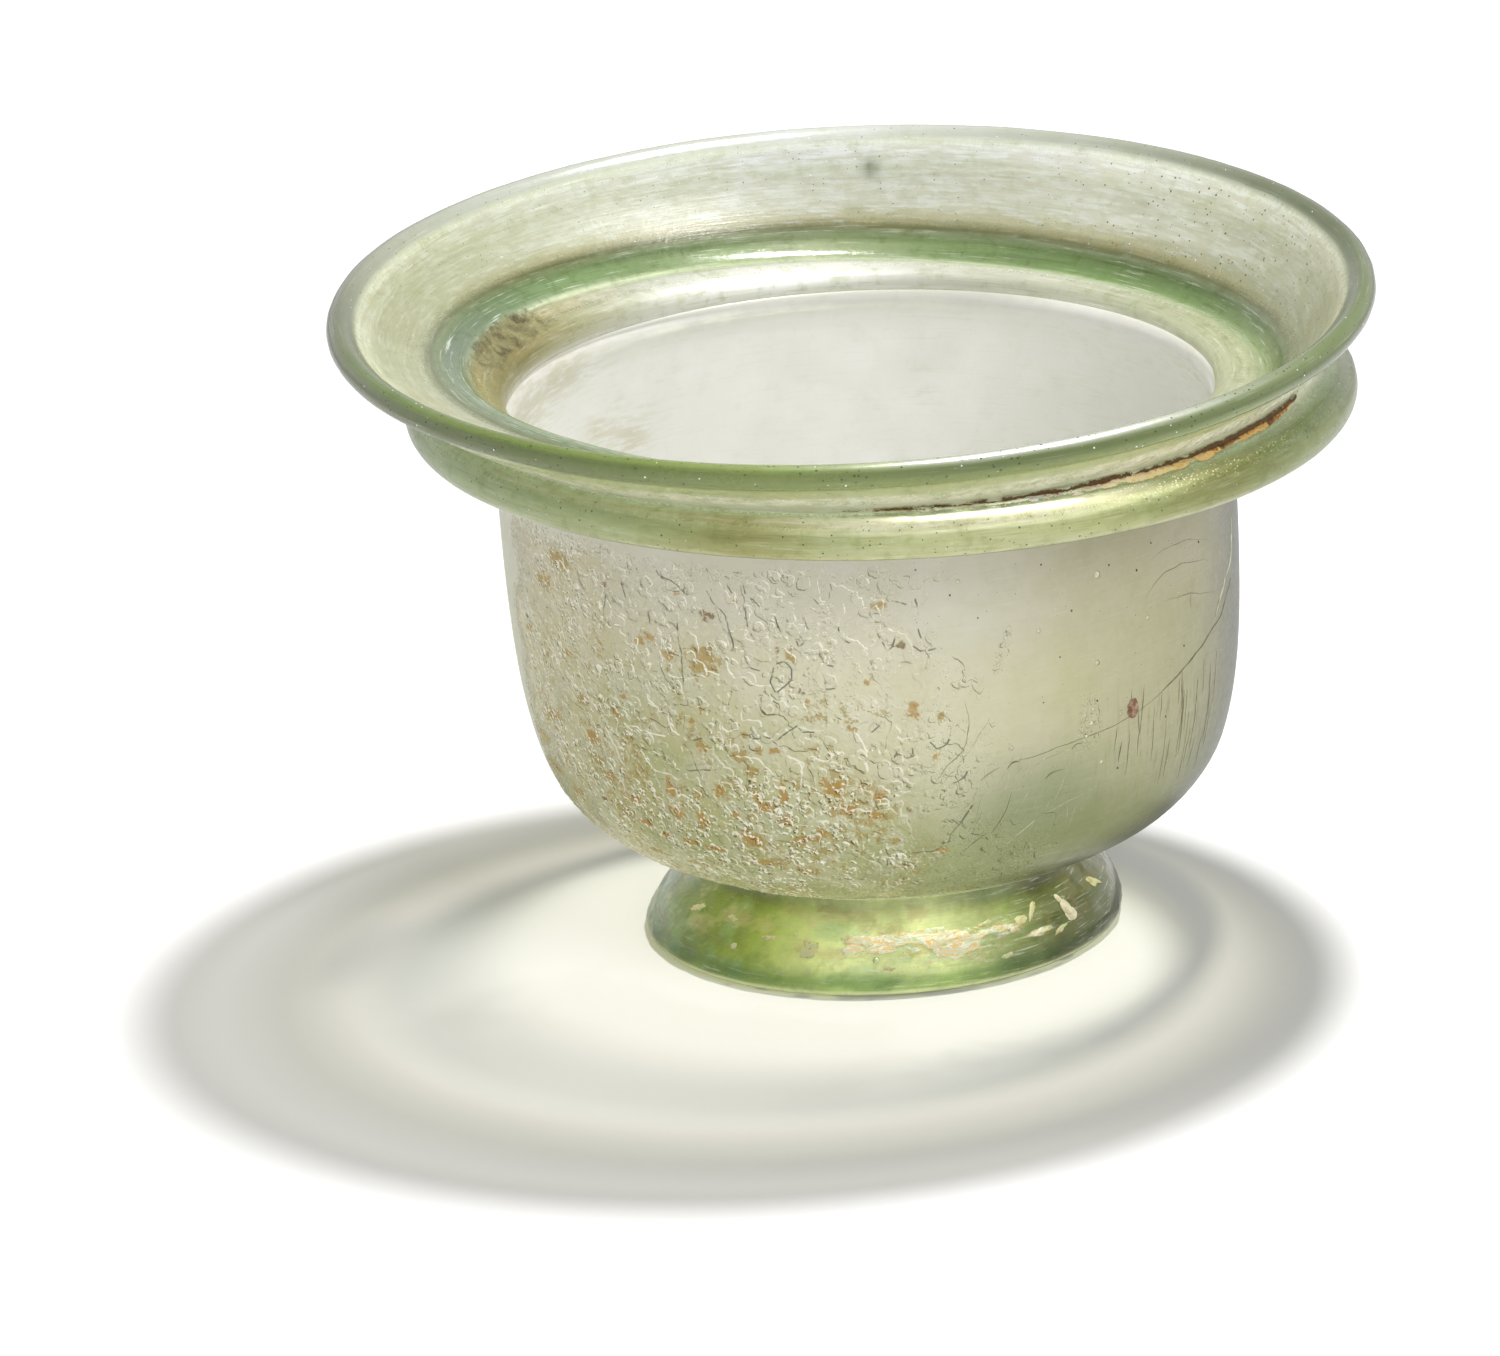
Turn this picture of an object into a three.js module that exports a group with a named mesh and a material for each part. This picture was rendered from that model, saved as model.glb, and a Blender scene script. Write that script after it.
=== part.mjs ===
// Free-blown glass bowl with a folded collar under a wide outsplayed rim, on an applied splayed foot ring.
// Units are millimetres, +Z is up. The origin is the centre of the bounding box at the foot's contact plane.
// The front of the bowl, with the soil in its groove and the flaking skin on its wall, faces -Y.
//
// One gather of glass makes floor, wall, collar and rim: the wall is bent outwards, folded back on
// itself as the collar and carried up into the rim, so these are regions of one solid, vessel.
// The foot ring and the pontil scar are further gathers of glass, fused to the vessel's underside.
// The burial soil, the mineral nodule and the flaking weathering skins are foreign or loosened layers
// that lie on the glass, each a solid of its own.
import * as THREE from "three";

// ---- driving dimensions -------------------------------------------------------------------------
const SEGMENTS = 60; // facets round the bowl
const RIM_RADIUS = 52.5; // outside of the rounded lip
const LIP_RADIUS = 1.3; // half thickness of the fire-rounded lip
const LIP_CENTRE_Z = 65.4;
const COLLAR_ROLL_R = 45.49; // centre line of the folded collar's outer roll
const COLLAR_ROLL_Z = 55.69;
const COLLAR_ROLL = 2.27; // radius of that roll
const WALL_RADIUS = 37.05; // outside of the wall just under the collar
const WALL = 1.5; // thickness of the wall
const FOOT_RADIUS = 24.1; // outside of the foot at its widest
const CONTACT_OUTER = 22.9; // the flat annulus that the bowl rests on
const CONTACT_INNER = 20.8;
const FOLD_GAP = 0.35; // slit between the two layers of the folded collar, at the inner wall
const SKIN = 0.28; // thickness of the flaking weathering skin on the wall

// The bowl was worked by hand, so its rings are not quite concentric or level. Each ring has
// a sideways shift along X and a tilt: the rise in Z at +X and at +Y (towards the back).
const CENTRE_X = 0.6; // brings the bounding box's centre to the origin
const BASE = { cx: 1.1, ta: 0, tb: 0 };
const COLLAR = { cx: 2.0, ta: -0.55, tb: 0.02 };
const RIM = { cx: -0.6, ta: 0.07, tb: 1.51 };
const THROAT_TOP = { cx: -0.05, ta: -1.7, tb: 0.04 };
const THROAT_FOOT = { cx: 0.46, ta: -2.3, tb: -1.3 };
const LEDGE = { cx: 0.3, ta: -0.6, tb: -0.6 };

const wallShift = (z) => ({ cx: 1.32 - 0.02455 * z, ta: 0, tb: 0 });
const mix = (a, b, t) => ({
  cx: a.cx + (b.cx - a.cx) * t,
  ta: a.ta + (b.ta - a.ta) * t,
  tb: a.tb + (b.tb - a.tb) * t,
});
const arc = (r, z, radius, degrees) => [
  r + radius * Math.cos((degrees * Math.PI) / 180),
  z + radius * Math.sin((degrees * Math.PI) / 180),
];

// ---- the vessel's profile: [r, z, ring shift], from the middle of the underside, out, up, over the
// lip and back down the inside to the middle of the floor -------------------------------------------
const LIP_R = RIM_RADIUS - LIP_RADIUS;
const INNER = WALL_RADIUS - WALL;
const vesselProfile = [
  [0, 8.9, BASE], // the floor is pushed up a little in the middle
  [4.0, 8.7, BASE],
  [5.4, 8.55, BASE],
  [7.0, 8.3, BASE],
  [11, 8.0, BASE],
  [14.8, 8.05, BASE], // the foot ring is fused on from here
  [16.8, 8.3, BASE],
  [18.8, 8.75, BASE], // to here
  [21.6, 9.6, BASE],
  [24.6, 10.75, wallShift(10.75)],
  [27.4, 12.15, wallShift(12.15)],
  [30.0, 13.9, wallShift(13.9)],
  [32.2, 16.1, wallShift(16.1)],
  [33.9, 18.7, wallShift(18.7)],
  [35.0, 21.8, wallShift(21.8)],
  [35.9, 26, wallShift(26)],
  [36.5, 31, wallShift(31)],
  [36.9, 38, wallShift(38)],
  [WALL_RADIUS, 45, wallShift(45)],
  [WALL_RADIUS, 51.6, wallShift(51.6)],
  [37.6, 53.0, mix(wallShift(53), COLLAR, 0.15)], // the wall turns out under the collar
  [39.0, 53.6, mix(wallShift(53), COLLAR, 0.3)],
  [42.2, 53.5, mix(wallShift(53), COLLAR, 0.75)],
  [...arc(COLLAR_ROLL_R, COLLAR_ROLL_Z, COLLAR_ROLL, -90), COLLAR],
  [...arc(COLLAR_ROLL_R, COLLAR_ROLL_Z, COLLAR_ROLL, -50), COLLAR],
  [...arc(COLLAR_ROLL_R, COLLAR_ROLL_Z, COLLAR_ROLL, -10), COLLAR],
  [...arc(COLLAR_ROLL_R, COLLAR_ROLL_Z, COLLAR_ROLL, 30), COLLAR],
  [46.25, 57.95, mix(COLLAR, RIM, 0.1)],
  [45.0, 58.75, mix(COLLAR, RIM, 0.35)], // groove between collar and rim
  [45.35, 59.45, mix(COLLAR, RIM, 0.55)],
  [47.2, 61.0, mix(COLLAR, RIM, 0.8)],
  [49.4, 62.9, RIM],
  [...arc(LIP_R, LIP_CENTRE_Z, LIP_RADIUS, -100), RIM],
  [...arc(LIP_R, LIP_CENTRE_Z, LIP_RADIUS, -45), RIM],
  [...arc(LIP_R, LIP_CENTRE_Z, LIP_RADIUS, 0), RIM],
  [...arc(LIP_R, LIP_CENTRE_Z, LIP_RADIUS, 45), RIM],
  [...arc(LIP_R, LIP_CENTRE_Z, LIP_RADIUS, 90), RIM],
  [...arc(LIP_R, LIP_CENTRE_Z, LIP_RADIUS, 140), RIM],
  [48.9, 64.9, RIM], // the rim's hollow funnel
  [46.6, 62.75, mix(RIM, THROAT_TOP, 0.4)],
  [44.7, 61.3, mix(RIM, THROAT_TOP, 0.75)],
  [43.4, 60.4, THROAT_TOP],
  [42.4, 59.95, mix(THROAT_TOP, THROAT_FOOT, 0.4)],
  [41.5, 59.45, mix(THROAT_TOP, THROAT_FOOT, 0.75)],
  [40.5, 58.95, THROAT_FOOT],
  [38.7, 58.3, mix(THROAT_FOOT, LEDGE, 0.55)], // ledge over the fold
  [36.8, 57.75, LEDGE],
  [INNER + 0.35, 57.0, mix(LEDGE, wallShift(56), 0.5)],
  [INNER + 0.05, 55.9, wallShift(55.4)],
  [INNER + 0.05, 55.0 + FOLD_GAP, wallShift(55.4)], // the slit between the two layers of the fold
  [43.2, 55.55, mix(wallShift(55.4), COLLAR, 0.8)],
  [44.6, 55.85, COLLAR],
  [45.3, 55.4, COLLAR],
  [44.6, 54.95, COLLAR],
  [43.2, 55.05, mix(wallShift(55.4), COLLAR, 0.8)],
  [INNER + 0.05, 55.0, wallShift(55.4)],
  [INNER, 50, wallShift(50)],
  [INNER - 0.02, 44, wallShift(44)],
  [INNER - 0.2, 37, wallShift(37)],
  [34.95, 30.6, wallShift(30.6)],
  [34.3, 25.9, wallShift(25.9)],
  [33.3, 22, wallShift(22)],
  [32.0, 19.2, wallShift(19.2)],
  [30.3, 16.9, wallShift(16.9)],
  [28.0, 14.9, wallShift(14.9)],
  [25.2, 13.3, wallShift(13.3)],
  [22, 12.1, BASE],
  [18, 11.2, BASE],
  [12, 10.75, BASE],
  [6, 10.9, BASE],
  [0, 11.2, BASE],
];
const at = (r, z) =>
  vesselProfile.findIndex((s) => Math.abs(s[0] - r) < 1e-6 && Math.abs(s[1] - z) < 1e-6);

// ---- geometry helpers ---------------------------------------------------------------------------
// The place of station s at the angle of facet i, counted from +X towards +Y.
function place([r, z, shift], i) {
  const a = (2 * Math.PI * (i % SEGMENTS)) / SEGMENTS;
  const k = Math.min(1, r / 10); // tilt fades out towards the axis
  return [
    CENTRE_X + shift.cx + r * Math.cos(a),
    r * Math.sin(a),
    z + k * (shift.ta * Math.cos(a) + shift.tb * Math.sin(a)),
  ];
}

// A turned solid: LatheGeometry of the profile, stood upright, with each ring moved to its own place.
function turned(profile, closed, ripple) {
  const stations = closed ? [...profile, profile[0]] : profile;
  const geometry = new THREE.LatheGeometry(
    stations.map(([r, z]) => new THREE.Vector2(r, z)),
    SEGMENTS,
  );
  const position = geometry.getAttribute("position");
  for (let i = 0; i <= SEGMENTS; i++)
    for (let j = 0; j < stations.length; j++) {
      const p = place(stations[j], i);
      if (ripple) p[2] += ripple(j % profile.length, (2 * Math.PI * (i % SEGMENTS)) / SEGMENTS);
      position.setXYZ(i * stations.length + j, ...p);
    }
  geometry.deleteAttribute("normal");
  geometry.deleteAttribute("uv");
  return geometry;
}

function fromTriangles(triangles) {
  const geometry = new THREE.BufferGeometry();
  geometry.setAttribute("position", new THREE.Float32BufferAttribute(triangles.flat(2), 3));
  return geometry;
}

// A lens-shaped skin on the vessel: its back lies on stations j0..j1 between facets i0 and i1, its
// face stands proud of them by thickness(u, v), and the two meet along the outline.
function skin(profile, i0, i1, j0, j1, thickness) {
  const normal = (i, j) => {
    const a = new THREE.Vector3(...place(profile[j], i + 1)).sub(
      new THREE.Vector3(...place(profile[j], i + SEGMENTS - 1)),
    );
    const b = new THREE.Vector3(...place(profile[j + 1], i)).sub(
      new THREE.Vector3(...place(profile[j - 1], i)),
    );
    return a.cross(b).normalize();
  };
  const inside = (i, j) => i > i0 && i < i1 && j > j0 && j < j1;
  const low = (i, j) => place(profile[j], i);
  const high = (i, j) => {
    const p = low(i, j);
    if (!inside(i, j)) return p;
    const n = normal(i, j);
    const t = thickness((i - i0) / (i1 - i0), (j - j0) / (j1 - j0));
    return [p[0] + n.x * t, p[1] + n.y * t, p[2] + n.z * t];
  };
  const out = [];
  for (let i = i0; i < i1; i++)
    for (let j = j0; j < j1; j++) {
      // the back repeats the vessel's own two triangles, facing the other way
      const [a, b, c, d] = [low(i, j), low(i + 1, j), low(i + 1, j + 1), low(i, j + 1)];
      out.push([a, d, b], [b, d, c]);
      // the face splits a corner so that both its triangles reach the raised point
      const [A, B, C, D] = [high(i, j), high(i + 1, j), high(i + 1, j + 1), high(i, j + 1)];
      const acRaised = inside(i, j) || inside(i + 1, j + 1);
      const bdRaised = inside(i + 1, j) || inside(i, j + 1);
      if (acRaised || !bdRaised) out.push([A, B, C], [A, C, D]);
      else out.push([A, B, D], [B, C, D]);
    }
  return fromTriangles(out);
}

// A fillet of soil along the groove: it fills the corner of three stations between facets i0 and i1.
function grooveFill(profile, i0, i1, ja, jb, jc, bulge) {
  const ring = (i) => {
    const a = place(profile[ja], i);
    const b = place(profile[jb], i);
    const c = place(profile[jc], i);
    const t = (2 * Math.PI * i) / SEGMENTS;
    const s = (i - i0) / (i1 - i0);
    const o = bulge * (0.25 + 0.75 * Math.sin(Math.PI * s)) * (0.8 + 0.2 * Math.cos(5 * i));
    const m = [(a[0] + c[0]) / 2, (a[1] + c[1]) / 2, (a[2] + c[2]) / 2];
    return [a, [m[0] + o * Math.cos(t), m[1] + o * Math.sin(t), m[2] + 0.1 * o], c, b];
  };
  const out = [];
  for (let i = i0; i < i1; i++) {
    const [a, o, c, b] = ring(i);
    const [A, O, C, B] = ring(i + 1);
    out.push([a, A, O], [a, O, o], [o, O, C], [o, C, c]); // outer face
    out.push([a, b, A], [A, b, B], [b, c, B], [B, c, C]); // against the glass, as the vessel is split
  }
  const s = ring(i0);
  const e = ring(i1);
  out.push([s[0], s[1], s[3]], [s[1], s[2], s[3]], [e[0], e[3], e[1]], [e[1], e[3], e[2]]);
  return fromTriangles(out);
}

function piece(name, geometry, color, roughness, extra = {}) {
  const mesh = new THREE.Mesh(
    geometry,
    new THREE.MeshStandardMaterial({ color, roughness, metalness: 0, ...extra }),
  );
  mesh.name = name;
  return mesh;
}

const group = new THREE.Group();

// ---- vessel: floor, wall, folded collar and rim, one gather -------------------------------------
group.add(
  piece("vessel", turned(vesselProfile, false), 0xc9cfae, 0.32, { transparent: true, opacity: 0.6 }),
);

// ---- foot ring: a thick coil tooled into a splayed foot, fused to the underside -----------------
const footShift = (z) => ({ cx: -0.2 + (BASE.cx + 0.2) * Math.min(1, z / 8), ta: 0, tb: 0 });
const footProfile = [
  [18.8, 8.75, BASE],
  [16.8, 8.3, BASE],
  [14.8, 8.05, BASE],
  [15.2, 6.6, footShift(6.6)],
  [16.6, 4.6, footShift(4.6)],
  [18.4, 2.3, footShift(2.3)],
  [20.0, 0.5, footShift(0.5)],
  [CONTACT_INNER, 0, footShift(0)],
  [CONTACT_OUTER, 0, footShift(0)],
  [23.75, 0.28, footShift(0.28)],
  [FOOT_RADIUS, 0.9, footShift(0.9)],
  [23.9, 1.9, footShift(1.9)],
  [23.35, 3.1, footShift(3.1)],
  [22.3, 4.6, footShift(4.6)],
  [20.6, 6.0, footShift(6.0)],
  [19.3, 7.3, footShift(7.3)],
];
group.add(
  piece("foot_ring", turned(footProfile, true), 0x9cb46a, 0.22, { transparent: true, opacity: 0.7 }),
);

// ---- pontil scar: the ring of glass left under the floor where the pontil was broken away --------
const scarProfile = [
  [7.0, 8.3, BASE],
  [5.4, 8.55, BASE],
  [4.0, 8.7, BASE],
  [4.15, 8.0, BASE],
  [5.0, 7.55, BASE],
  [6.1, 7.4, BASE],
  [6.85, 7.75, BASE],
];
const scarBreak = (j, a) =>
  j < 3 ? 0 : (0.16 * Math.sin(3 * a + 0.7) + 0.12 * Math.sin(7 * a)) * (j === 4 || j === 5 ? 1 : 0.5);
group.add(
  piece("pontil_scar", turned(scarProfile, true, scarBreak), 0xa9bb80, 0.35, {
    transparent: true,
    opacity: 0.75,
  }),
);

// ---- burial soil packed in the groove under the rim, at the front and right ----------------------
const GROOVE = vesselProfile.findIndex((s) => s[0] === 45.0);
group.add(
  piece(
    "groove_soil",
    grooveFill(vesselProfile, 43, 57, GROOVE - 1, GROOVE, GROOVE + 1, 0.35),
    0x9a5f24,
    0.9,
  ),
);

// ---- burial soil on the inner ledge and wall, at the left ----------------------------------------
const LEDGE_TOP = at(40.5, 58.95);
group.add(
  piece(
    "throat_soil",
    skin(vesselProfile, 23, 31, LEDGE_TOP, LEDGE_TOP + 3, (u, v) => 0.3 + 0.15 * Math.sin(Math.PI * u)),
    0x8d7a45,
    0.92,
  ),
);

// ---- flaking weathering skin over the left and front of the wall ---------------------------------
const WALL_FOOT = at(24.6, 10.75);
const WALL_HEAD = at(WALL_RADIUS, 51.6);
group.add(
  piece(
    "wall_skin",
    skin(vesselProfile, 32, 48, WALL_FOOT, WALL_HEAD, () => SKIN),
    0xb9b08a,
    0.55,
  ),
);

// ---- pearly remains of the weathering skin on the foot, at the front right -----------------------
// The stations are taken in the order of the outer face, upwards.
const footFace = footProfile.slice(10);
group.add(
  piece("foot_skin", skin(footFace, 44, 54, 0, 4, () => 0.2), 0xe6dfc4, 0.4),
);

// ---- a rusty mineral nodule on the right of the wall ---------------------------------------------
const NODULE_ANGLE = (-47.0 * Math.PI) / 180;
const NODULE_Z = 30.4;
const nodule = new THREE.SphereGeometry(1, 14, 6, 0, 2 * Math.PI, 0, Math.PI / 2);
const dome = nodule.index.array;
const domePoints = nodule.getAttribute("position");
const noduleTriangles = [];
const domePoint = (k) => [domePoints.getX(k), domePoints.getZ(k), domePoints.getY(k)];
for (let k = 0; k < dome.length; k += 3)
  noduleTriangles.push([domePoint(dome[k]), domePoint(dome[k + 2]), domePoint(dome[k + 1])]);
for (let k = 0; k < 14; k++) {
  const edge = (n) => domePoint(6 * 15 + (n % 14));
  noduleTriangles.push([[0, 0, 0], edge(k), edge(k + 1)]);
}
const noduleMesh = piece("wall_nodule", fromTriangles(noduleTriangles), 0x7e3f24, 0.85);
noduleMesh.scale.set(0.65, 0.95, 0.5); // wide, high, proud of the wall
noduleMesh.up.set(0, 0, 1);
const NODULE_R = 36.46;
noduleMesh.position.set(
  CENTRE_X + wallShift(NODULE_Z).cx + NODULE_R * Math.cos(NODULE_ANGLE),
  NODULE_R * Math.sin(NODULE_ANGLE),
  NODULE_Z,
);
noduleMesh.lookAt(
  noduleMesh.position.x + 10 * Math.cos(NODULE_ANGLE),
  noduleMesh.position.y + 10 * Math.sin(NODULE_ANGLE),
  NODULE_Z - 1.2,
);
group.add(noduleMesh);

export default group;
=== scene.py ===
import math

import bpy
import numpy as np
from mathutils import Matrix, Vector


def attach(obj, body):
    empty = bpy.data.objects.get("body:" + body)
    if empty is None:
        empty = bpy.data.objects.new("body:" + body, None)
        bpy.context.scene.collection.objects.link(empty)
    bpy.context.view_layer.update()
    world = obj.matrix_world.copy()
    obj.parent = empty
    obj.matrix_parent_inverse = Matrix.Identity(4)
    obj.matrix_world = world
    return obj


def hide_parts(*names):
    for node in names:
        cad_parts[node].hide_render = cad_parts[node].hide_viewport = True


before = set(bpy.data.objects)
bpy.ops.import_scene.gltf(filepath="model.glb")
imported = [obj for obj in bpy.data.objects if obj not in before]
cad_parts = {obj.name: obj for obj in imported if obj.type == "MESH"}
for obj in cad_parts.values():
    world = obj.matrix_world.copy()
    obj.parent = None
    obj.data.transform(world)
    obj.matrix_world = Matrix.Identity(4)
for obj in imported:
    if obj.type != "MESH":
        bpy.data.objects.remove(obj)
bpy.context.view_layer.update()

MM = 0.001
rng = np.random.default_rng(7)

# ---------------------------------------------------------------------------------------------
# The bowl's own shape: the same station table as the CAD part, in millimetres, drawn smooth.
# A ring's shift is [sideways along X, rise at +X, rise at +Y].
# ---------------------------------------------------------------------------------------------
CENTRE_X = 0.6


def shift(cx, ta, tb):
    return np.array([cx, ta, tb], float)


BASE = shift(1.1, 0, 0)
COLLAR = shift(2.0, -0.55, 0.02)
RIM = shift(-0.6, 0.07, 1.51)
THROAT_TOP = shift(-0.05, -1.7, 0.04)
THROAT_FOOT = shift(0.46, -2.3, -1.3)
LEDGE = shift(0.3, -0.6, -0.6)


def wall(z):
    return shift(1.32 - 0.02455 * z, 0, 0)


def mix(a, b, t):
    return a + (b - a) * t


def arc(r, z, radius, degrees):
    a = math.radians(degrees)
    return r + radius * math.cos(a), z + radius * math.sin(a)


# Each station: r, z, shift, then what its surface is like:
# haze (share of milky weathering film), rough, film colour, shade (light that one face lets through)
PALE = (0.965, 0.945, 0.975)
LAVENDER = (0.86, 0.83, 0.79)
CREAM = (0.86, 0.865, 0.79)
BEIGE = (0.84, 0.82, 0.68)
GREEN = (0.60, 0.73, 0.48)
OLIVE = (0.76, 0.79, 0.44)
MOSS = (0.56, 0.64, 0.30)


def st(r, z, s, haze, rough, film, shade):
    return [r, z, *s, haze, rough, *film, shade]


def vessel_table():
    lo, hi = wall(53), COLLAR
    t = [
        st(0, 8.9, BASE, 0.20, 0.22, MOSS, 0.90),
        st(4.0, 8.7, BASE, 0.20, 0.22, MOSS, 0.90),
        st(7.0, 8.3, BASE, 0.20, 0.22, MOSS, 0.90),
        st(11, 8.0, BASE, 0.20, 0.22, MOSS, 0.90),
        st(14.8, 8.05, BASE, 0.20, 0.20, MOSS, 0.90),
        st(16.8, 8.3, BASE, 0.20, 0.20, MOSS, 0.88),
        st(18.8, 8.75, BASE, 0.20, 0.22, MOSS, 0.88),
        st(21.6, 9.6, BASE, 0.22, 0.26, MOSS, 0.90),
        st(24.6, 10.75, wall(10.75), 0.26, 0.30, BEIGE, 0.905),
        st(27.4, 12.15, wall(12.15), 0.30, 0.32, BEIGE, 0.905),
        st(30.0, 13.9, wall(13.9), 0.34, 0.34, BEIGE, 0.90),
        st(32.2, 16.1, wall(16.1), 0.36, 0.36, BEIGE, 0.90),
        st(33.9, 18.7, wall(18.7), 0.38, 0.38, BEIGE, 0.90),
        st(35.0, 21.8, wall(21.8), 0.40, 0.38, BEIGE, 0.905),
        st(35.9, 26, wall(26), 0.42, 0.40, BEIGE, 0.905),
        st(36.5, 31, wall(31), 0.44, 0.40, BEIGE, 0.905),
        st(36.9, 38, wall(38), 0.46, 0.40, BEIGE, 0.905),
        st(37.05, 45, wall(45), 0.50, 0.40, LAVENDER, 0.905),
        st(37.05, 51.6, wall(51.6), 0.50, 0.38, LAVENDER, 0.90),
        st(37.6, 53.0, mix(lo, hi, 0.15), 0.40, 0.30, BEIGE, 0.80),
        st(39.0, 53.6, mix(lo, hi, 0.3), 0.25, 0.20, GREEN, 0.74),
        st(42.2, 53.5, mix(lo, hi, 0.75), 0.26, 0.20, OLIVE, 0.72),
    ]
    for a in (-90, -50, -10, 30):
        t.append(st(*arc(45.49, 55.69, 2.27, a), COLLAR, 0.46, 0.32, OLIVE, 0.62))
    t += [
        st(46.25, 57.95, mix(COLLAR, RIM, 0.1), 0.20, 0.18, GREEN, 0.68),
        st(45.0, 58.75, mix(COLLAR, RIM, 0.35), 0.45, 0.34, CREAM, 0.66),
        st(45.35, 59.45, mix(COLLAR, RIM, 0.55), 0.45, 0.34, CREAM, 0.66),
        st(47.2, 61.0, mix(COLLAR, RIM, 0.8), 0.44, 0.28, CREAM, 0.60),
        st(49.4, 62.9, RIM, 0.44, 0.24, OLIVE, 0.56),
    ]
    for a in (-100, -45, 0, 45, 90, 140):
        t.append(st(*arc(51.2, 65.4, 1.3, a), RIM, 0.46, 0.22, MOSS, 0.48))
    t += [
        st(48.9, 64.9, RIM, 0.56, 0.30, CREAM, 0.58),
        st(46.6, 62.75, mix(RIM, THROAT_TOP, 0.4), 0.60, 0.34, CREAM, 0.60),
        st(44.7, 61.3, mix(RIM, THROAT_TOP, 0.75), 0.60, 0.32, CREAM, 0.62),
        st(43.4, 60.4, THROAT_TOP, 0.60, 0.28, CREAM, 0.64),
        st(42.4, 59.95, mix(THROAT_TOP, THROAT_FOOT, 0.4), 0.56, 0.20, GREEN, 0.66),
        st(41.5, 59.45, mix(THROAT_TOP, THROAT_FOOT, 0.75), 0.52, 0.16, GREEN, 0.66),
        st(40.5, 58.95, THROAT_FOOT, 0.52, 0.16, GREEN, 0.68),
        st(38.7, 58.3, mix(THROAT_FOOT, LEDGE, 0.55), 0.54, 0.24, CREAM, 0.72),
        st(36.8, 57.75, LEDGE, 0.50, 0.34, CREAM, 0.80),
        st(35.9, 57.0, mix(LEDGE, wall(56), 0.5), 0.42, 0.32, CREAM, 0.84),
        st(35.6, 55.9, wall(55.4), 0.55, 0.34, PALE, 0.88),
        st(35.6, 55.35, wall(55.4), 0.45, 0.30, CREAM, 0.88),
        st(43.2, 55.55, mix(wall(55.4), COLLAR, 0.8), 0.20, 0.25, GREEN, 0.90),
        st(44.6, 55.85, COLLAR, 0.20, 0.25, GREEN, 0.90),
        st(45.3, 55.4, COLLAR, 0.20, 0.25, GREEN, 0.90),
        st(44.6, 54.95, COLLAR, 0.20, 0.25, GREEN, 0.90),
        st(43.2, 55.05, mix(wall(55.4), COLLAR, 0.8), 0.20, 0.25, GREEN, 0.90),
        st(35.6, 55.0, wall(55.4), 0.60, 0.34, PALE, 0.92),
        st(35.55, 50, wall(50), 0.60, 0.40, PALE, 0.905),
        st(35.53, 44, wall(44), 0.60, 0.40, PALE, 0.905),
        st(35.35, 37, wall(37), 0.60, 0.40, PALE, 0.905),
        st(34.95, 30.6, wall(30.6), 0.60, 0.40, PALE, 0.905),
        st(34.3, 25.9, wall(25.9), 0.60, 0.38, PALE, 0.905),
        st(33.3, 22, wall(22), 0.60, 0.38, PALE, 0.905),
        st(32.0, 19.2, wall(19.2), 0.60, 0.38, PALE, 0.905),
        st(30.3, 16.9, wall(16.9), 0.60, 0.36, LAVENDER, 0.905),
        st(28.0, 14.9, wall(14.9), 0.38, 0.36, LAVENDER, 0.905),
        st(25.2, 13.3, wall(13.3), 0.36, 0.34, LAVENDER, 0.905),
        st(22, 12.1, BASE, 0.34, 0.34, LAVENDER, 0.905),
        st(18, 11.2, BASE, 0.32, 0.32, LAVENDER, 0.905),
        st(12, 10.75, BASE, 0.32, 0.32, LAVENDER, 0.905),
        st(6, 10.9, BASE, 0.32, 0.32, LAVENDER, 0.905),
        st(0, 11.2, BASE, 0.32, 0.32, BEIGE, 0.905),
    ]
    return np.array(t, float)


def foot_shift(z):
    return shift(-0.2 + 1.3 * min(1, z / 8), 0, 0)


def foot_table():
    rows = [
        (18.8, 8.75, BASE, 0.9),
        (16.8, 8.3, BASE, 0.9),
        (14.8, 8.05, BASE, 0.9),
        (15.2, 6.6, foot_shift(6.6), 0.82),
        (16.6, 4.6, foot_shift(4.6), 0.80),
        (18.4, 2.3, foot_shift(2.3), 0.78),
        (20.0, 0.5, foot_shift(0.5), 0.76),
        (20.8, 0.0, foot_shift(0), 0.80),
        (22.9, 0.0, foot_shift(0), 0.80),
        (23.75, 0.28, foot_shift(0.28), 0.74),
        (24.1, 0.9, foot_shift(0.9), 0.72),
        (23.9, 1.9, foot_shift(1.9), 0.74),
        (23.35, 3.1, foot_shift(3.1), 0.76),
        (22.3, 4.6, foot_shift(4.6), 0.78),
        (20.6, 6.0, foot_shift(6.0), 0.80),
        (19.3, 7.3, foot_shift(7.3), 0.82),
    ]
    return np.array([st(r, z, s, 0.26, 0.20, MOSS, k) for r, z, s, k in rows], float)


def scar_table():
    rows = [(7.0, 8.3), (5.4, 8.55), (4.0, 8.7), (4.15, 8.0), (5.0, 7.55), (6.1, 7.4), (6.85, 7.75)]
    return np.array([st(r, z, BASE, 0.2, 0.15, MOSS, 0.9) for r, z in rows], float)


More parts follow.
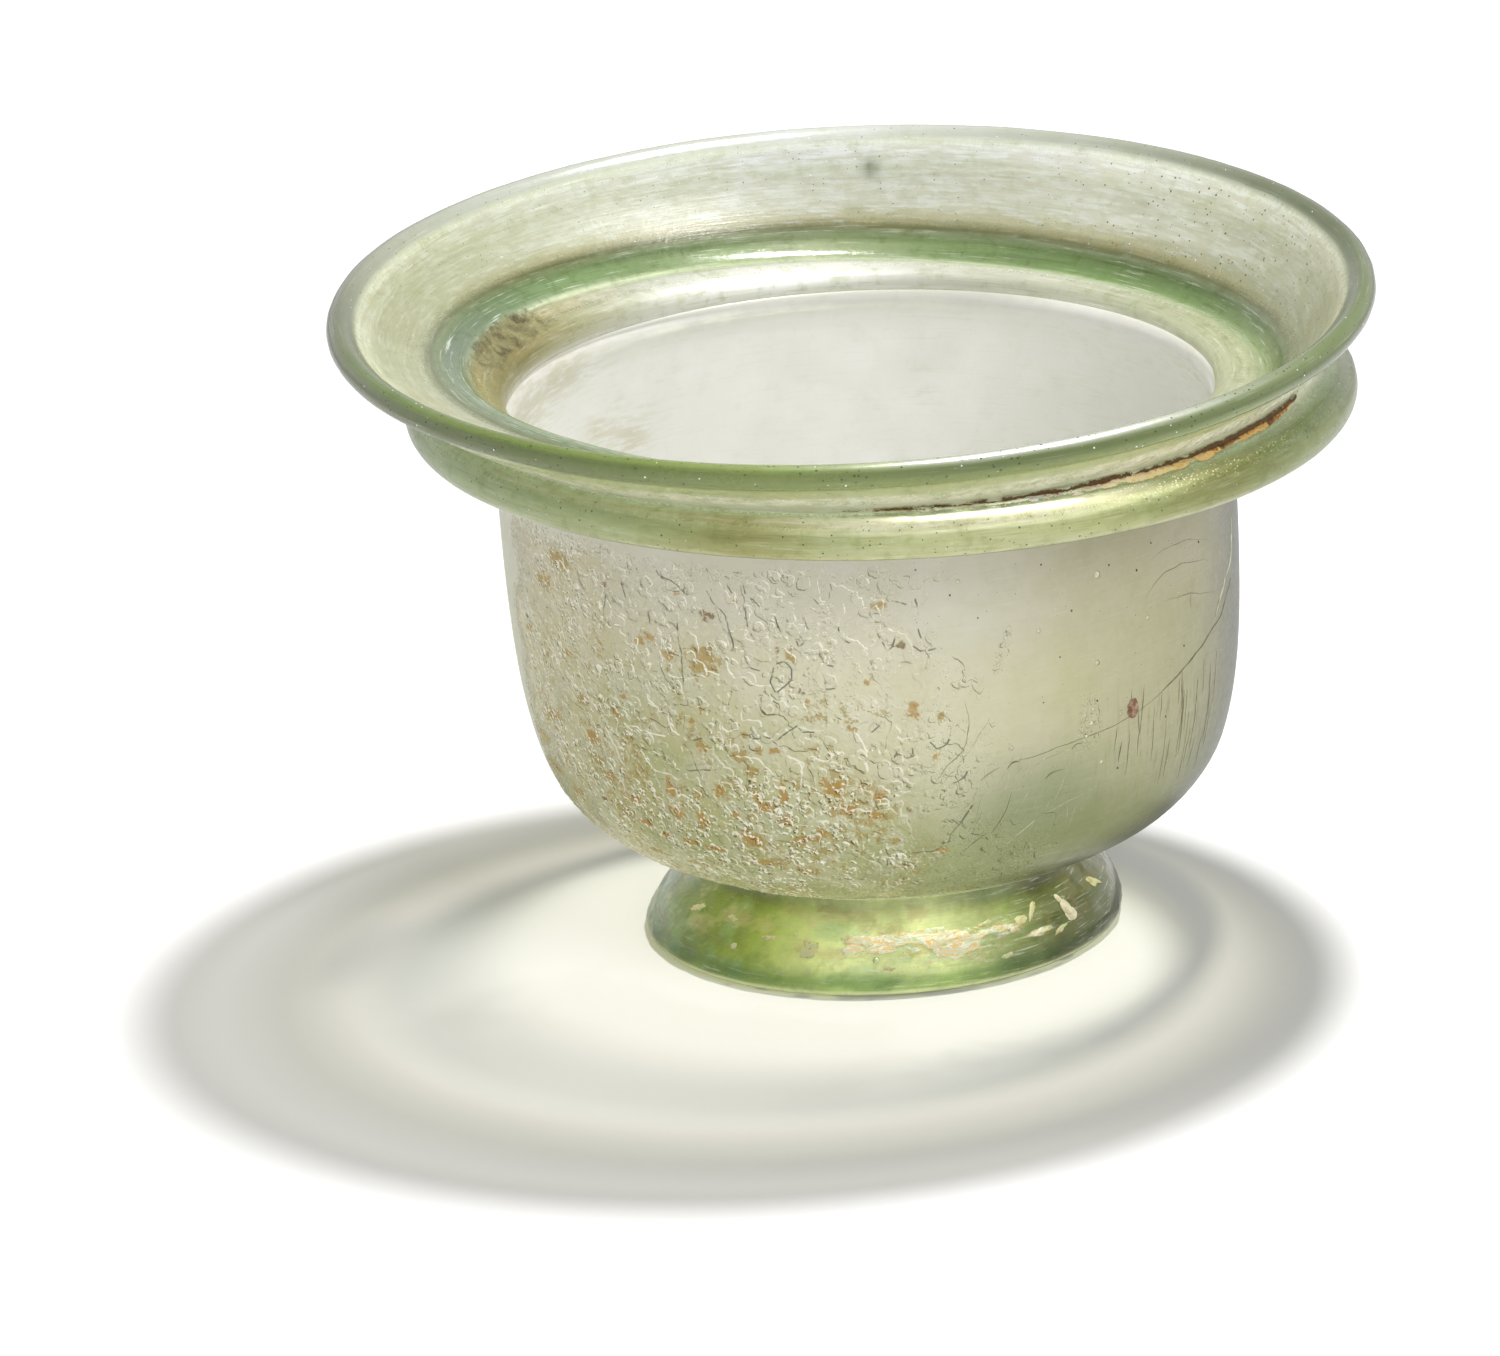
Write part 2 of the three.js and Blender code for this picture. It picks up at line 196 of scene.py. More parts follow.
def smooth(table, spacing, closed=False, tight=()):
    """Stations joined by centripetal Catmull-Rom curves. Stations in tight keep their corner."""
    n = len(table)
    pts = table
    d = np.hypot(*(np.diff(pts[:, :2], axis=0).T)) if not closed else np.hypot(
        *((np.roll(pts, -1, 0) - pts)[:, :2].T)
    )
    segs = n if closed else n - 1
    out = []
    for k in range(segs):
        p1, p2 = pts[k], pts[(k + 1) % n]
        p0 = pts[(k - 1) % n] if (closed or k > 0) else 2 * p1 - p2
        p3 = pts[(k + 2) % n] if (closed or k < n - 2) else 2 * p2 - p1
        if k in tight:
            p0 = 2 * p1 - p2
        if (k + 1) % n in tight:
            p3 = 2 * p2 - p1
        ln = math.hypot(*(p2 - p1)[:2])
        gap = spacing(p1, p2) if callable(spacing) else spacing
        m = max(2, int(math.ceil(ln / gap)))
        a = lambda p, q: max(math.hypot(*(q - p)[:2]), 1e-6) ** 0.5
        t0 = 0.0
        t1 = t0 + a(p0, p1)
        t2 = t1 + a(p1, p2)
        t3 = t2 + a(p2, p3)
        for i in range(m):
            t = t1 + (t2 - t1) * i / m
            a1 = (t1 - t) / (t1 - t0) * p0 + (t - t0) / (t1 - t0) * p1
            a2 = (t2 - t) / (t2 - t1) * p1 + (t - t1) / (t2 - t1) * p2
            a3 = (t3 - t) / (t3 - t2) * p2 + (t - t2) / (t3 - t2) * p3
            b1 = (t2 - t) / (t2 - t0) * a1 + (t - t0) / (t2 - t0) * a2
            b2 = (t3 - t) / (t3 - t1) * a2 + (t - t1) / (t3 - t1) * a3
            q = (t2 - t) / (t2 - t1) * b1 + (t - t1) / (t2 - t1) * b2
            lin = p1 + (p2 - p1) * i / m
            q[5:] = lin[5:]
            out.append(q)
    if not closed:
        out.append(pts[-1])
    out = np.array(out)
    out[:, 0] = np.maximum(out[:, 0], 0)
    return out


def place(rows, theta):
    """Points for rows (n, >=5) at angles theta (m): array (n, m, 3) in millimetres."""
    r, z, cx, ta, tb = (rows[:, k][:, None] for k in range(5))
    c, s = np.cos(theta)[None], np.sin(theta)[None]
    k = np.minimum(1, r / 10)
    return np.stack([CENTRE_X + cx + r * c, r * s, z + k * (ta * c + tb * s)], -1)


# ---------------------------------------------------------------------------------------------
# Noise used for modelled detail
# ---------------------------------------------------------------------------------------------
def hash3(ix, iy, iz, seed):
    h = (ix * 374761393 + iy * 668265263 + iz * 2147483647 + seed * 1274126177) & 0xFFFFFFFF
    h = ((h ^ (h >> 13)) * 1274126177) & 0xFFFFFFFF
    h = ((h ^ (h >> 16)) * 2246822519) & 0xFFFFFFFF
    return ((h ^ (h >> 15)) & 0xFFFFFF) / float(0xFFFFFF)


def value_noise(x, y, z=None, seed=0):
    """Smooth value noise, 0 to 1."""
    z = np.zeros_like(x) if z is None else z
    xi, yi, zi = (np.floor(v).astype(np.int64) for v in (x, y, z))
    fx, fy, fz = x - xi, y - yi, z - zi
    fx, fy, fz = (v * v * v * (v * (v * 6 - 15) + 10) for v in (fx, fy, fz))
    total = 0
    for dx in (0, 1):
        for dy in (0, 1):
            for dz in (0, 1):
                w = (fx if dx else 1 - fx) * (fy if dy else 1 - fy) * (fz if dz else 1 - fz)
                total = total + w * hash3(xi + dx, yi + dy, zi + dz, seed)
    return total


def fbm(x, y, z=None, seed=0, octaves=4, gain=0.5):
    z = np.zeros_like(x) if z is None else z
    total, amp, norm, f = 0, 1.0, 0.0, 1.0
    for o in range(octaves):
        total = total + amp * value_noise(x * f, y * f, z * f, seed + 17 * o)
        norm += amp
        amp *= gain
        f *= 2.03
    return total / norm


def cells(x, y, seed=0, jitter=0.9):
    """Nearest and second nearest distance to scattered points, and the nearest one's own number."""
    xi, yi = np.floor(x).astype(np.int64), np.floor(y).astype(np.int64)
    f1 = np.full(x.shape, 9.0)
    f2 = np.full(x.shape, 9.0)
    own = np.zeros(x.shape)
    zero = np.zeros_like(xi)
    for dx in (-1, 0, 1):
        for dy in (-1, 0, 1):
            cx, cy = xi + dx, yi + dy
            px = cx + 0.5 + jitter * (hash3(cx, cy, zero, seed) - 0.5)
            py = cy + 0.5 + jitter * (hash3(cx, cy, zero, seed + 5) - 0.5)
            d = np.hypot(x - px, y - py)
            nearer = d < f1
            f2 = np.where(nearer, f1, np.minimum(f2, d))
            own = np.where(nearer, hash3(cx, cy, zero, seed + 11), own)
            f1 = np.where(nearer, d, f1)
    return f1, f2, own


def step(a, b, x):
    t = np.clip((x - a) / (b - a), 0, 1)
    return t * t * (3 - 2 * t)


# ---------------------------------------------------------------------------------------------
# Mesh helpers
# ---------------------------------------------------------------------------------------------
def mesh_object(name, verts_mm, faces, attributes=None, smooth_shade=True):
    """verts in millimetres; faces: list of tuples, or an (n, 4) / (n, 3) array, or a list of both."""
    mesh = bpy.data.meshes.new(name)
    groups = faces if isinstance(faces, list) and len(faces) and isinstance(faces[0], np.ndarray) else [
        np.array(faces)
    ]
    v = np.asarray(verts_mm, float) * MM
    loops, starts, total = [], [], 0
    for g in groups:
        loops.append(g.reshape(-1))
        starts.append(total + np.arange(len(g)) * g.shape[1])
        total += g.size
    loops, starts = np.concatenate(loops), np.concatenate(starts)
    mesh.vertices.add(len(v))
    mesh.vertices.foreach_set("co", v.reshape(-1))
    mesh.loops.add(len(loops))
    mesh.loops.foreach_set("vertex_index", loops.astype(np.int32))
    mesh.polygons.add(len(starts))
    mesh.polygons.foreach_set("loop_start", starts.astype(np.int32))
    mesh.update(calc_edges=True)
    mesh.validate(verbose=False)
    mesh.polygons.foreach_set("use_smooth", np.full(len(mesh.polygons), smooth_shade))
    for key, data in (attributes or {}).items():
        data = np.asarray(data, float)
        if data.ndim == 1:
            mesh.attributes.new(key, "FLOAT", "POINT").data.foreach_set("value", data)
        else:
            mesh.attributes.new(key, "FLOAT_VECTOR", "POINT").data.foreach_set("vector", data.reshape(-1))
    obj = bpy.data.objects.new(name, mesh)
    bpy.context.scene.collection.objects.link(obj)
    return obj


def grid_faces(n, m, wrap_m, wrap_n=False, base=0):
    """Quads of an n x m grid (n rings of m points), facing row x column."""
    i = np.arange(m if wrap_m else m - 1)
    j = np.arange(n if wrap_n else n - 1)
    jj, ii = np.meshgrid(j, i, indexing="ij")
    a = jj * m + ii
    b = jj * m + (ii + 1) % m
    c = ((jj + 1) % n) * m + (ii + 1) % m
    d = ((jj + 1) % n) * m + ii
    return np.stack([a, b, c, d], -1).reshape(-1, 4) + base


def lathe(name, rows, segs, closed, push=None, extra=None):
    theta = np.arange(segs) * 2 * math.pi / segs
    body = rows if closed else rows[1:-1]
    p = place(body, theta)
    if push is not None:
        p = p + push(body, theta, p)
    n = len(body)
    verts = p.reshape(-1, 3)
    faces = [grid_faces(n, segs, True, closed)]
    if not closed:
        lo, hi = place(rows[:1], theta[:1])[0], place(rows[-1:], theta[:1])[0]
        verts = np.concatenate([verts, lo, hi])
        i = np.arange(segs)
        k = (i + 1) % segs
        bottom = np.stack([np.full(segs, n * segs), k, i], -1)
        top = np.stack([np.full(segs, n * segs + 1), (n - 1) * segs + i, (n - 1) * segs + k], -1)
        faces += [bottom, top]
    full = body[:, 5:]
    cols = np.repeat(full[:, None, :], segs, 1).reshape(-1, full.shape[1])
    ring = np.cumsum(np.concatenate([[0], np.hypot(*(np.diff(body[:, :2], axis=0).T))]))
    turn = np.stack(
        [
            np.repeat(np.cos(theta)[None], n, 0),
            np.repeat(np.sin(theta)[None], n, 0),
            np.repeat(ring[:, None], segs, 1) / 10,
        ],
        -1,
    ).reshape(-1, 3)
    if not closed:
        cols = np.concatenate([cols, rows[:1, 5:], rows[-1:, 5:]])
        turn = np.concatenate([turn, [[0, 0, 0]], [[0, 0, ring[-1] / 10]]])
    attributes = {
        "haze": cols[:, 0],
        "rough": cols[:, 1],
        "film": cols[:, 2:5],
        "shade": cols[:, 5],
        "turn": turn,
    }
    if extra is not None:
        attributes.update(extra(body, theta, verts, len(verts) - n * segs))
    return mesh_object(name, verts, faces, attributes)


# ---------------------------------------------------------------------------------------------
# Material helpers
# ---------------------------------------------------------------------------------------------
class Nodes:
    def __init__(self, name):
        self.mat = bpy.data.materials.new(name)
        self.mat.use_nodes = True
        self.nt = self.mat.node_tree
        self.nt.nodes.clear()
        self.out = self.nt.nodes.new("ShaderNodeOutputMaterial")

    def new(self, kind, **settings):
        n = self.nt.nodes.new(kind)
        for k, v in settings.items():
            setattr(n, k, v)
        return n

    def put(self, socket, value):
        if isinstance(value, bpy.types.NodeSocket):
            self.nt.links.new(value, socket)
        elif value is not None:
            socket.default_value = value

    def attr(self, name, vector=False):
        n = self.new("ShaderNodeAttribute", attribute_name=name)
        return n.outputs["Vector" if vector else "Fac"]

    def colour_attr(self, name):
        return self.new("ShaderNodeAttribute", attribute_name=name).outputs["Color"]

    def math(self, op, a, b=None, c=None, clamp=False):
        n = self.new("ShaderNodeMath", operation=op, use_clamp=clamp)
        self.put(n.inputs[0], a)
        if b is not None:
            self.put(n.inputs[1], b)
        if c is not None:
            self.put(n.inputs[2], c)
        return n.outputs[0]

    def vmath(self, op, a, b=None, scale=None):
        n = self.new("ShaderNodeVectorMath", operation=op)
        self.put(n.inputs[0], a)
        if b is not None:
            self.put(n.inputs[1], b)
        if scale is not None:
            self.put(n.inputs["Scale"], scale)
        return n.outputs[0]

    def mm(self):
        """Object coordinates in millimetres."""
        return self.vmath("SCALE", self.new("ShaderNodeTexCoord").outputs["Object"], scale=1000.0)

    def noise(self, vector, scale, detail=3.0, rough=0.55, distortion=0.0, colour=False):
        n = self.new("ShaderNodeTexNoise")
        self.put(n.inputs["Vector"], vector)
        n.inputs["Scale"].default_value = scale
        n.inputs["Detail"].default_value = detail
        n.inputs["Roughness"].default_value = rough
        n.inputs["Distortion"].default_value = distortion
        return n.outputs["Color" if colour else "Fac"]

    def voronoi(self, vector, scale, feature="F1", out="Distance", randomness=1.0):
        n = self.new("ShaderNodeTexVoronoi", feature=feature)
        self.put(n.inputs["Vector"], vector)
        n.inputs["Scale"].default_value = scale
        n.inputs["Randomness"].default_value = randomness
        return n.outputs[out]

    def span(self, value, a, b, c=0.0, d=1.0, smooth_step=True):
        n = self.new("ShaderNodeMapRange", interpolation_type="SMOOTHSTEP" if smooth_step else "LINEAR")
        self.put(n.inputs["Value"], value)
        n.inputs["From Min"].default_value = a
        n.inputs["From Max"].default_value = b
        n.inputs["To Min"].default_value = c
        n.inputs["To Max"].default_value = d
        return n.outputs["Result"]

    def blend(self, fac, a, b, mode="MIX"):
        n = self.new("ShaderNodeMix", data_type="RGBA", blend_type=mode)
        self.put(n.inputs["Factor"], fac)
        for socket, v in ((n.inputs["A"], a), (n.inputs["B"], b)):
            pass
        colour_a = [i for i in n.inputs if i.name == "A" and i.type == "RGBA"][0]
        colour_b = [i for i in n.inputs if i.name == "B" and i.type == "RGBA"][0]
        self.put(colour_a, a if isinstance(a, bpy.types.NodeSocket) else (*a, 1))
        self.put(colour_b, b if isinstance(b, bpy.types.NodeSocket) else (*b, 1))
        return [o for o in n.outputs if o.type == "RGBA"][0]

    def ramp(self, fac, stops):
        n = self.new("ShaderNodeValToRGB")
        self.put(n.inputs["Fac"], fac)
        e = n.color_ramp.elements
        while len(e) < len(stops):
            e.new(0.5)
        for k, (pos, col) in enumerate(stops):
            e[k].position = pos
            e[k].color = (*col, 1)
        return n.outputs["Color"]

    def bump(self, height, strength, distance_mm, normal=None):
        n = self.new("ShaderNodeBump")
        n.inputs["Strength"].default_value = strength
        n.inputs["Distance"].default_value = distance_mm * MM
        self.put(n.inputs["Height"], height)
        if normal is not None:
            self.put(n.inputs["Normal"], normal)
        return n.outputs["Normal"]

    def principled(self, **values):
        n = self.new("ShaderNodeBsdfPrincipled")
        for k, v in values.items():
            self.put(n.inputs[k.replace("_", " ")], v)
        return n

    def finish(self, shader, volume=None):
        self.put(self.out.inputs["Surface"], shader)
        if volume is not None:
            self.put(self.out.inputs["Volume"], volume)
        return self.mat


def let_lamps_through(m, shader, tint, clear=None, turned=0.92):
    """Lamps and bounced light pass the glass as a plain tint, so that its shadow stays clean.
    Grazing light is mostly turned away. clear is 1 where there is no surface at all."""
    path = m.new("ShaderNodeLightPath")
    through = m.math("MAXIMUM", path.outputs["Is Shadow Ray"], path.outputs["Is Diffuse Ray"])
    graze = m.new("ShaderNodeLayerWeight")
    graze.inputs["Blend"].default_value = 0.5
    lost = m.math("POWER", graze.outputs["Facing"], 3.0)
    if clear is not None:
        lost = m.math("MULTIPLY", lost, m.math("SUBTRACT", 1.0, clear))
    colour = m.blend(m.math("MULTIPLY", lost, turned), tint, (0.0, 0.0, 0.0))
    soft = m.blend(0.55, tint, (1.0, 1.0, 1.0))
    colour = m.blend(path.outputs["Is Diffuse Ray"], colour, soft)
    see = m.new("ShaderNodeBsdfTransparent")
    m.put(see.inputs["Color"], colour)
    if clear is not None:
        through = m.math("MAXIMUM", through, clear)
    n = m.new("ShaderNodeMixShader")
    m.put(n.inputs[0], through)
    m.put(n.inputs[1], shader)
    m.put(n.inputs[2], see.outputs[0])
    return n.outputs[0]


def absorb(m, colour, density):
    v = m.new("ShaderNodeVolumeAbsorption")
    v.inputs["Color"].default_value = (*colour, 1)
    v.inputs["Density"].default_value = density
    return v.outputs[0]


# ---------------------------------------------------------------------------------------------
# Vessel
# ---------------------------------------------------------------------------------------------
def vessel_spacing(p1, p2):
    r, z = (p1[0] + p2[0]) / 2, (p1[1] + p2[1]) / 2
    if z < 12.5 and r < 21:
        return 2.2
    if z > 63.5 and r > 49:
        return 0.42
    if z > 52.5 and r > 36.2:
        return 0.62
    if r < 35.6 and z < 55:
        return 1.3
    return 0.85


TABLE = vessel_table()
VESSEL_ROWS = smooth(TABLE, vessel_spacing, False, tight=(31 + 8, 32 + 8))


def hand_made(rows, theta, p):
    """A hand-worked surface is never quite true: slow dents, most of all at the rim."""
    r, z = rows[:, 0][:, None], rows[:, 1][:, None]
    x, y = np.cos(theta)[None] * 3, np.sin(theta)[None] * 3
    amount = 0.10 * step(52, 58, z) + 0.0 * z
    n1 = fbm(x + 0 * z, y + 0 * z, z * 0.12 + 0 * x, 3, 3) - 0.5
    n2 = fbm(x * 3 + 0 * z, y * 3 + 0 * z, z * 0.5 + 0 * x, 9, 3) - 0.5
    up = (n1 * 1.2 + n2 * 0.5) * amount
    side = (n2 * 1.1 - n1 * 0.4) * amount
    c, s = np.cos(theta)[None], np.sin(theta)[None]
    return np.stack([side * c, side * s, up], -1)


def around(t, stops):
    """Colour at angle t (radians) between stops given at degrees from -180 to 180."""
    d = np.degrees(np.arctan2(np.sin(t), np.cos(t)))
    at = [q[0] for q in stops]
    return np.stack([np.interp(d, at, [q[1][c] for q in stops]) for c in range(3)], -1)


# Collar film by angle: olive tones, with a painted highlight across the front (about -97 to -75 degrees)
COLLAR_FILM_AND_HIGHLIGHT = [
    (-180, (0.44, 0.52, 0.38)), (-150, (0.48, 0.56, 0.36)), (-122, (0.62, 0.66, 0.38)), (-108, (0.56, 0.54, 0.24)),
    (-97, (0.80, 0.80, 0.50)), (-75, (0.86, 0.84, 0.54)), (-60, (0.68, 0.68, 0.36)), (-45, (0.40, 0.42, 0.17)),
    (-28, (0.38, 0.43, 0.22)), (0, (0.40, 0.45, 0.28)), (90, (0.52, 0.58, 0.40)), (180, (0.44, 0.52, 0.38)),
]
# Throat band film by angle, with a painted highlight at the back (about 90 to 108 degrees)
THROAT_FILM_AND_HIGHLIGHT = [
    (-180, (0.09, 0.13, 0.07)), (-150, (0.15, 0.21, 0.10)), (-90, (0.28, 0.35, 0.18)), (-10, (0.20, 0.26, 0.10)),
    (25, (0.18, 0.26, 0.10)), (55, (0.20, 0.30, 0.12)), (78, (0.26, 0.36, 0.17)), (90, (0.40, 0.47, 0.28)),
    (98, (0.54, 0.59, 0.40)), (108, (0.33, 0.42, 0.22)), (130, (0.20, 0.29, 0.13)), (160, (0.11, 0.165, 0.08)),
    (180, (0.09, 0.13, 0.07)),
]
# Lip film by angle: painted shade darkens the sides, where the lip is seen edge on, and a painted pale glint lightens
# the back
LIP_FILM_SHADE_AND_GLINT = [
    (-180, (0.15, 0.165, 0.10)), (-150, (0.16, 0.22, 0.08)), (-90, (0.42, 0.52, 0.16)), (-60, (0.39, 0.48, 0.15)),
    (-35, (0.24, 0.30, 0.12)), (-12, (0.12, 0.15, 0.06)), (15, (0.11, 0.13, 0.07)), (35, (0.17, 0.19, 0.13)),
    (60, (0.34, 0.36, 0.30)), (90, (0.50, 0.52, 0.49)), (120, (0.44, 0.46, 0.41)),
    (155, (0.32, 0.335, 0.27)), (180, (0.15, 0.165, 0.10)),
]
FUNNEL_ROUND = [
    (-180, (0.46, 0.48, 0.36)), (-140, (0.56, 0.57, 0.44)), (-90, (0.66, 0.67, 0.56)), (-30, (0.48, 0.49, 0.34)),
    (0, (0.44, 0.45, 0.33)), (35, (0.74, 0.76, 0.70)), (55, (0.80, 0.82, 0.80)), (75, (0.65, 0.67, 0.66)), (100, (0.58, 0.60, 0.60)),
    (135, (0.49, 0.51, 0.44)), (160, (0.44, 0.46, 0.35)), (180, (0.42, 0.43, 0.31)),
]
SHELF_ROUND = [
    (-180, (0.34, 0.30, 0.14)), (-150, (0.52, 0.49, 0.31)), (-90, (0.66, 0.66, 0.54)), (0, (0.44, 0.46, 0.30)),
    (35, (0.46, 0.48, 0.34)), (60, (0.60, 0.60, 0.53)), (90, (0.66, 0.65, 0.63)), (125, (0.62, 0.61, 0.56)),
    (142, (0.51, 0.49, 0.37)), (160, (0.34, 0.295, 0.135)), (180, (0.34, 0.30, 0.14)),
]
# Outer wall film by angle, top, middle and low: painted shade darkens the right silhouette (about -30 to 10 degrees)
# and the low front right
WALL_TOP_FILM_AND_SHADE = [
    (-180, (0.66, 0.63, 0.52)), (-110, (0.74, 0.70, 0.60)), (-80, (0.72, 0.68, 0.59)), (-55, (0.45, 0.42, 0.285)),
    (-28, (0.36, 0.335, 0.22)), (-12, (0.20, 0.195, 0.15)), (0, (0.14, 0.135, 0.11)), (9, (0.24, 0.235, 0.20)),
    (30, (0.70, 0.68, 0.63)), (60, (0.86, 0.84, 0.80)), (90, (0.95, 0.93, 0.92)),
    (130, (0.90, 0.88, 0.85)), (180, (0.66, 0.63, 0.52)),
]
WALL_MID_FILM_AND_SHADE = [
    (-180, (0.64, 0.61, 0.46)), (-110, (0.74, 0.71, 0.53)), (-80, (0.78, 0.74, 0.55)), (-60, (0.56, 0.53, 0.33)),
    (-32, (0.35, 0.335, 0.19)), (-14, (0.19, 0.185, 0.13)), (0, (0.13, 0.13, 0.10)), (9, (0.23, 0.23, 0.19)),
    (30, (0.70, 0.68, 0.63)), (60, (0.86, 0.84, 0.80)), (90, (0.95, 0.93, 0.92)),
    (130, (0.90, 0.88, 0.85)), (180, (0.64, 0.61, 0.46)),
]
WALL_LOW_FILM_AND_SHADE = [
    (-180, (0.52, 0.52, 0.30)), (-110, (0.375, 0.40, 0.175)), (-80, (0.315, 0.355, 0.135)), (-55, (0.235, 0.255, 0.10)),
    (-20, (0.19, 0.20, 0.10)), (90, (0.72, 0.74, 0.62)), (180, (0.56, 0.56, 0.36)),
]


def tones(rows, theta, verts, more):
    """How the film changes around the bowl: angle and height, outside and inside. Painted highlights and painted shade
    are laid into the film colour here as well.
    """
    n, m = len(rows), len(theta)
    r = np.repeat(rows[:, 0][:, None], m, 1)
    z = np.repeat(rows[:, 1][:, None], m, 1)
    t = np.repeat(theta[None], n, 0)
    crest = int(np.argmax(rows[:, 1]))
    inside = np.repeat((np.arange(n) > crest)[:, None], m, 1).astype(float)
    outside = 1 - inside
    film = np.repeat(rows[:, None, 7:10], m, 1)
    haze = np.repeat(rows[:, 5][:, None], m, 1)
    rough = np.repeat(rows[:, 6][:, None], m, 1)
    shade = np.repeat(rows[:, 10][:, None], m, 1)

    def facing(degrees, a, b):
        return step(a, b, np.cos(t - math.radians(degrees)))

    def gap(degrees, width):
        d = np.degrees(np.arctan2(np.sin(t - math.radians(degrees)), np.cos(t - math.radians(degrees))))
        return np.exp(-0.5 * (d / width) ** 2)

    def lay(mask, colour):
        nonlocal film
        film = film * (1 - mask[..., None]) + mask[..., None] * colour

    wall_mask = outside * step(10.0, 12.5, z) * (1 - step(52.4, 53.3, z)) * (r < 38.5)
    lo, hi = 1 - step(15.0, 30.0, z), step(34.0, 48.0, z)
    tone = around(t, WALL_MID_FILM_AND_SHADE) * (1 - lo - hi)[..., None] + around(t, WALL_LOW_FILM_AND_SHADE) * lo[..., None] + around(t, WALL_TOP_FILM_AND_SHADE) * hi[..., None]
    lay(wall_mask, tone)
    d_dusk = np.degrees(np.arctan2(np.sin(t - math.radians(295.5)), np.cos(t - math.radians(295.5))))
    dusk_film = wall_mask * np.exp(-0.5 * ((d_dusk / 9.5) ** 2 + ((z - 22.5) / 4.2) ** 2))
    lay(0.75 * dusk_film, np.array([0.22, 0.26, 0.13]))
    roll = outside * step(39.5, 42.0, r) * (1 - step(57.9, 58.4, z)) * (z > 53)
    lay(roll, around(t, COLLAR_FILM_AND_HIGHLIGHT))
    lip = step(49.2, 50.0, r) * step(63.4, 64.2, z)
    lay(lip, around(t, LIP_FILM_SHADE_AND_GLINT))
    funnel = inside * step(59.85, 60.15, z) * (1 - step(48.8, 50.2, r))
    lay(funnel, around(t, FUNNEL_ROUND))
    throat = inside * step(58.02, 58.22, z) * (1 - step(59.85, 60.0, z)) * (r > 36)
    lay(throat, around(t, THROAT_FILM_AND_HIGHLIGHT))
    brim = inside * (r > 40) * np.exp(-0.5 * ((z - 60.08) / 0.24) ** 2)
    lay(np.clip(brim * (0.55 + 0.45 * facing(175, -0.3, 0.8) + 0.3 * facing(40, 0.2, 0.9)), 0, 1), np.array([0.12, 0.15, 0.06]))
    lay(throat * step(59.40, 59.75, z) * (0.45 + 0.55 * (1 - facing(98, 0.6, 0.95))), np.array([0.11, 0.16, 0.06]))
    lay(throat * (1 - step(58.22, 58.42, z)) * 0.6, np.array([0.15, 0.20, 0.08]))
    # painted highlight: a thin bright line along the throat band, strongest at the back
    painted_throat_glint = throat * np.exp(-0.5 * ((z - 58.62) / 0.10) ** 2) * (0.3 + 0.7 * facing(100, 0.3, 1.0))
    lay(painted_throat_glint * 0.75, np.array([0.80, 0.84, 0.66]))
    foot_line = inside * (r > 36) * np.exp(-0.5 * ((z - 58.0) / 0.08) ** 2)
    lay(foot_line * 0.6, np.array([0.62, 0.56, 0.36]))
    outline = step(51.9, 52.3, r) * (0.45 + 0.55 * facing(150, -0.4, 0.5))
    lay(outline * 0.8, np.array([0.20, 0.23, 0.13]))
    haze = np.maximum(haze, 0.85 * outline)
    haze = np.maximum(haze, 0.97 * inside * step(47.2, 48.4, r))
    haze = np.maximum(haze, 0.88 * lip * (1 - facing(-90, 0.35, 0.8)))
    haze = np.maximum(haze, 0.85 * np.clip(brim, 0, 1))
    haze = np.maximum(haze, 0.72 * throat * (1 - facing(98, 0.75, 0.98)))
    left_throat = throat * facing(185, 0.2, 0.8)
    mark = inside * (r > 44) * gap(87.0, 0.75) * np.exp(-0.5 * ((r - 47.5) / 0.45) ** 2)
    lay(np.clip(mark * 1.3, 0, 1) * 0.75, np.array([0.10, 0.12, 0.06]))
    haze = np.maximum(haze, np.clip(mark * 1.3, 0, 0.9))
    # a painted highlight runs along the roll's top, with some metallic reflection under it; further down, its lower
    # edge gets a painted bright line
    turn_up = np.degrees(np.arctan2(z - 55.69, r - 45.49))
    painted_gleam = roll * gap(-80, 17) * np.exp(-0.5 * ((turn_up - 62) / 21) ** 2)
    lay(np.clip(painted_gleam * 1.5, 0, 1), np.array([1.0, 0.985, 0.84]))
    haze = np.clip(haze + 0.9 * painted_gleam, 0, 1)
    mirror = 0.48 * painted_gleam
    under = roll * np.exp(-0.5 * ((turn_up - 5) / 14) ** 2) * np.clip(gap(-48, 16) + 0.6 * gap(-105, 12), 0, 1)
    lay(under * 0.7, np.array([0.40, 0.42, 0.16]))
    haze = np.maximum(haze, 0.82 * roll * step(30, 50, turn_up) * facing(-125, 0.6, 0.9))
    flaky = outside * step(58.2, 58.9, z) * (1 - step(62.2, 63.2, z)) * (r > 44)
    lay(flaky * 0.6, np.array([0.86, 0.87, 0.66]))
    torn = fbm(np.cos(t) * 30, np.sin(t) * 30, z * 1.3, seed=41, octaves=4, gain=0.6)
    scum = flaky * np.exp(-0.5 * ((z - 61.3) / 0.55) ** 2) * step(0.44, 0.54, torn) * (0.5 + 0.5 * facing(-80, -0.2, 0.6))
    lay(np.clip(scum * 1.2, 0, 1), np.array([0.98, 0.97, 0.86]))
    haze = np.maximum(haze, np.clip(0.95 * scum + 0.72 * flaky, 0, 1))
    rim_top = lip * outside * step(64.9, 65.5, z) * facing(-42, 0.5, 0.85)
    lay(rim_top * 0.85, np.array([0.14, 0.18, 0.07]))
    haze = np.maximum(haze, 1.2 * rim_top)
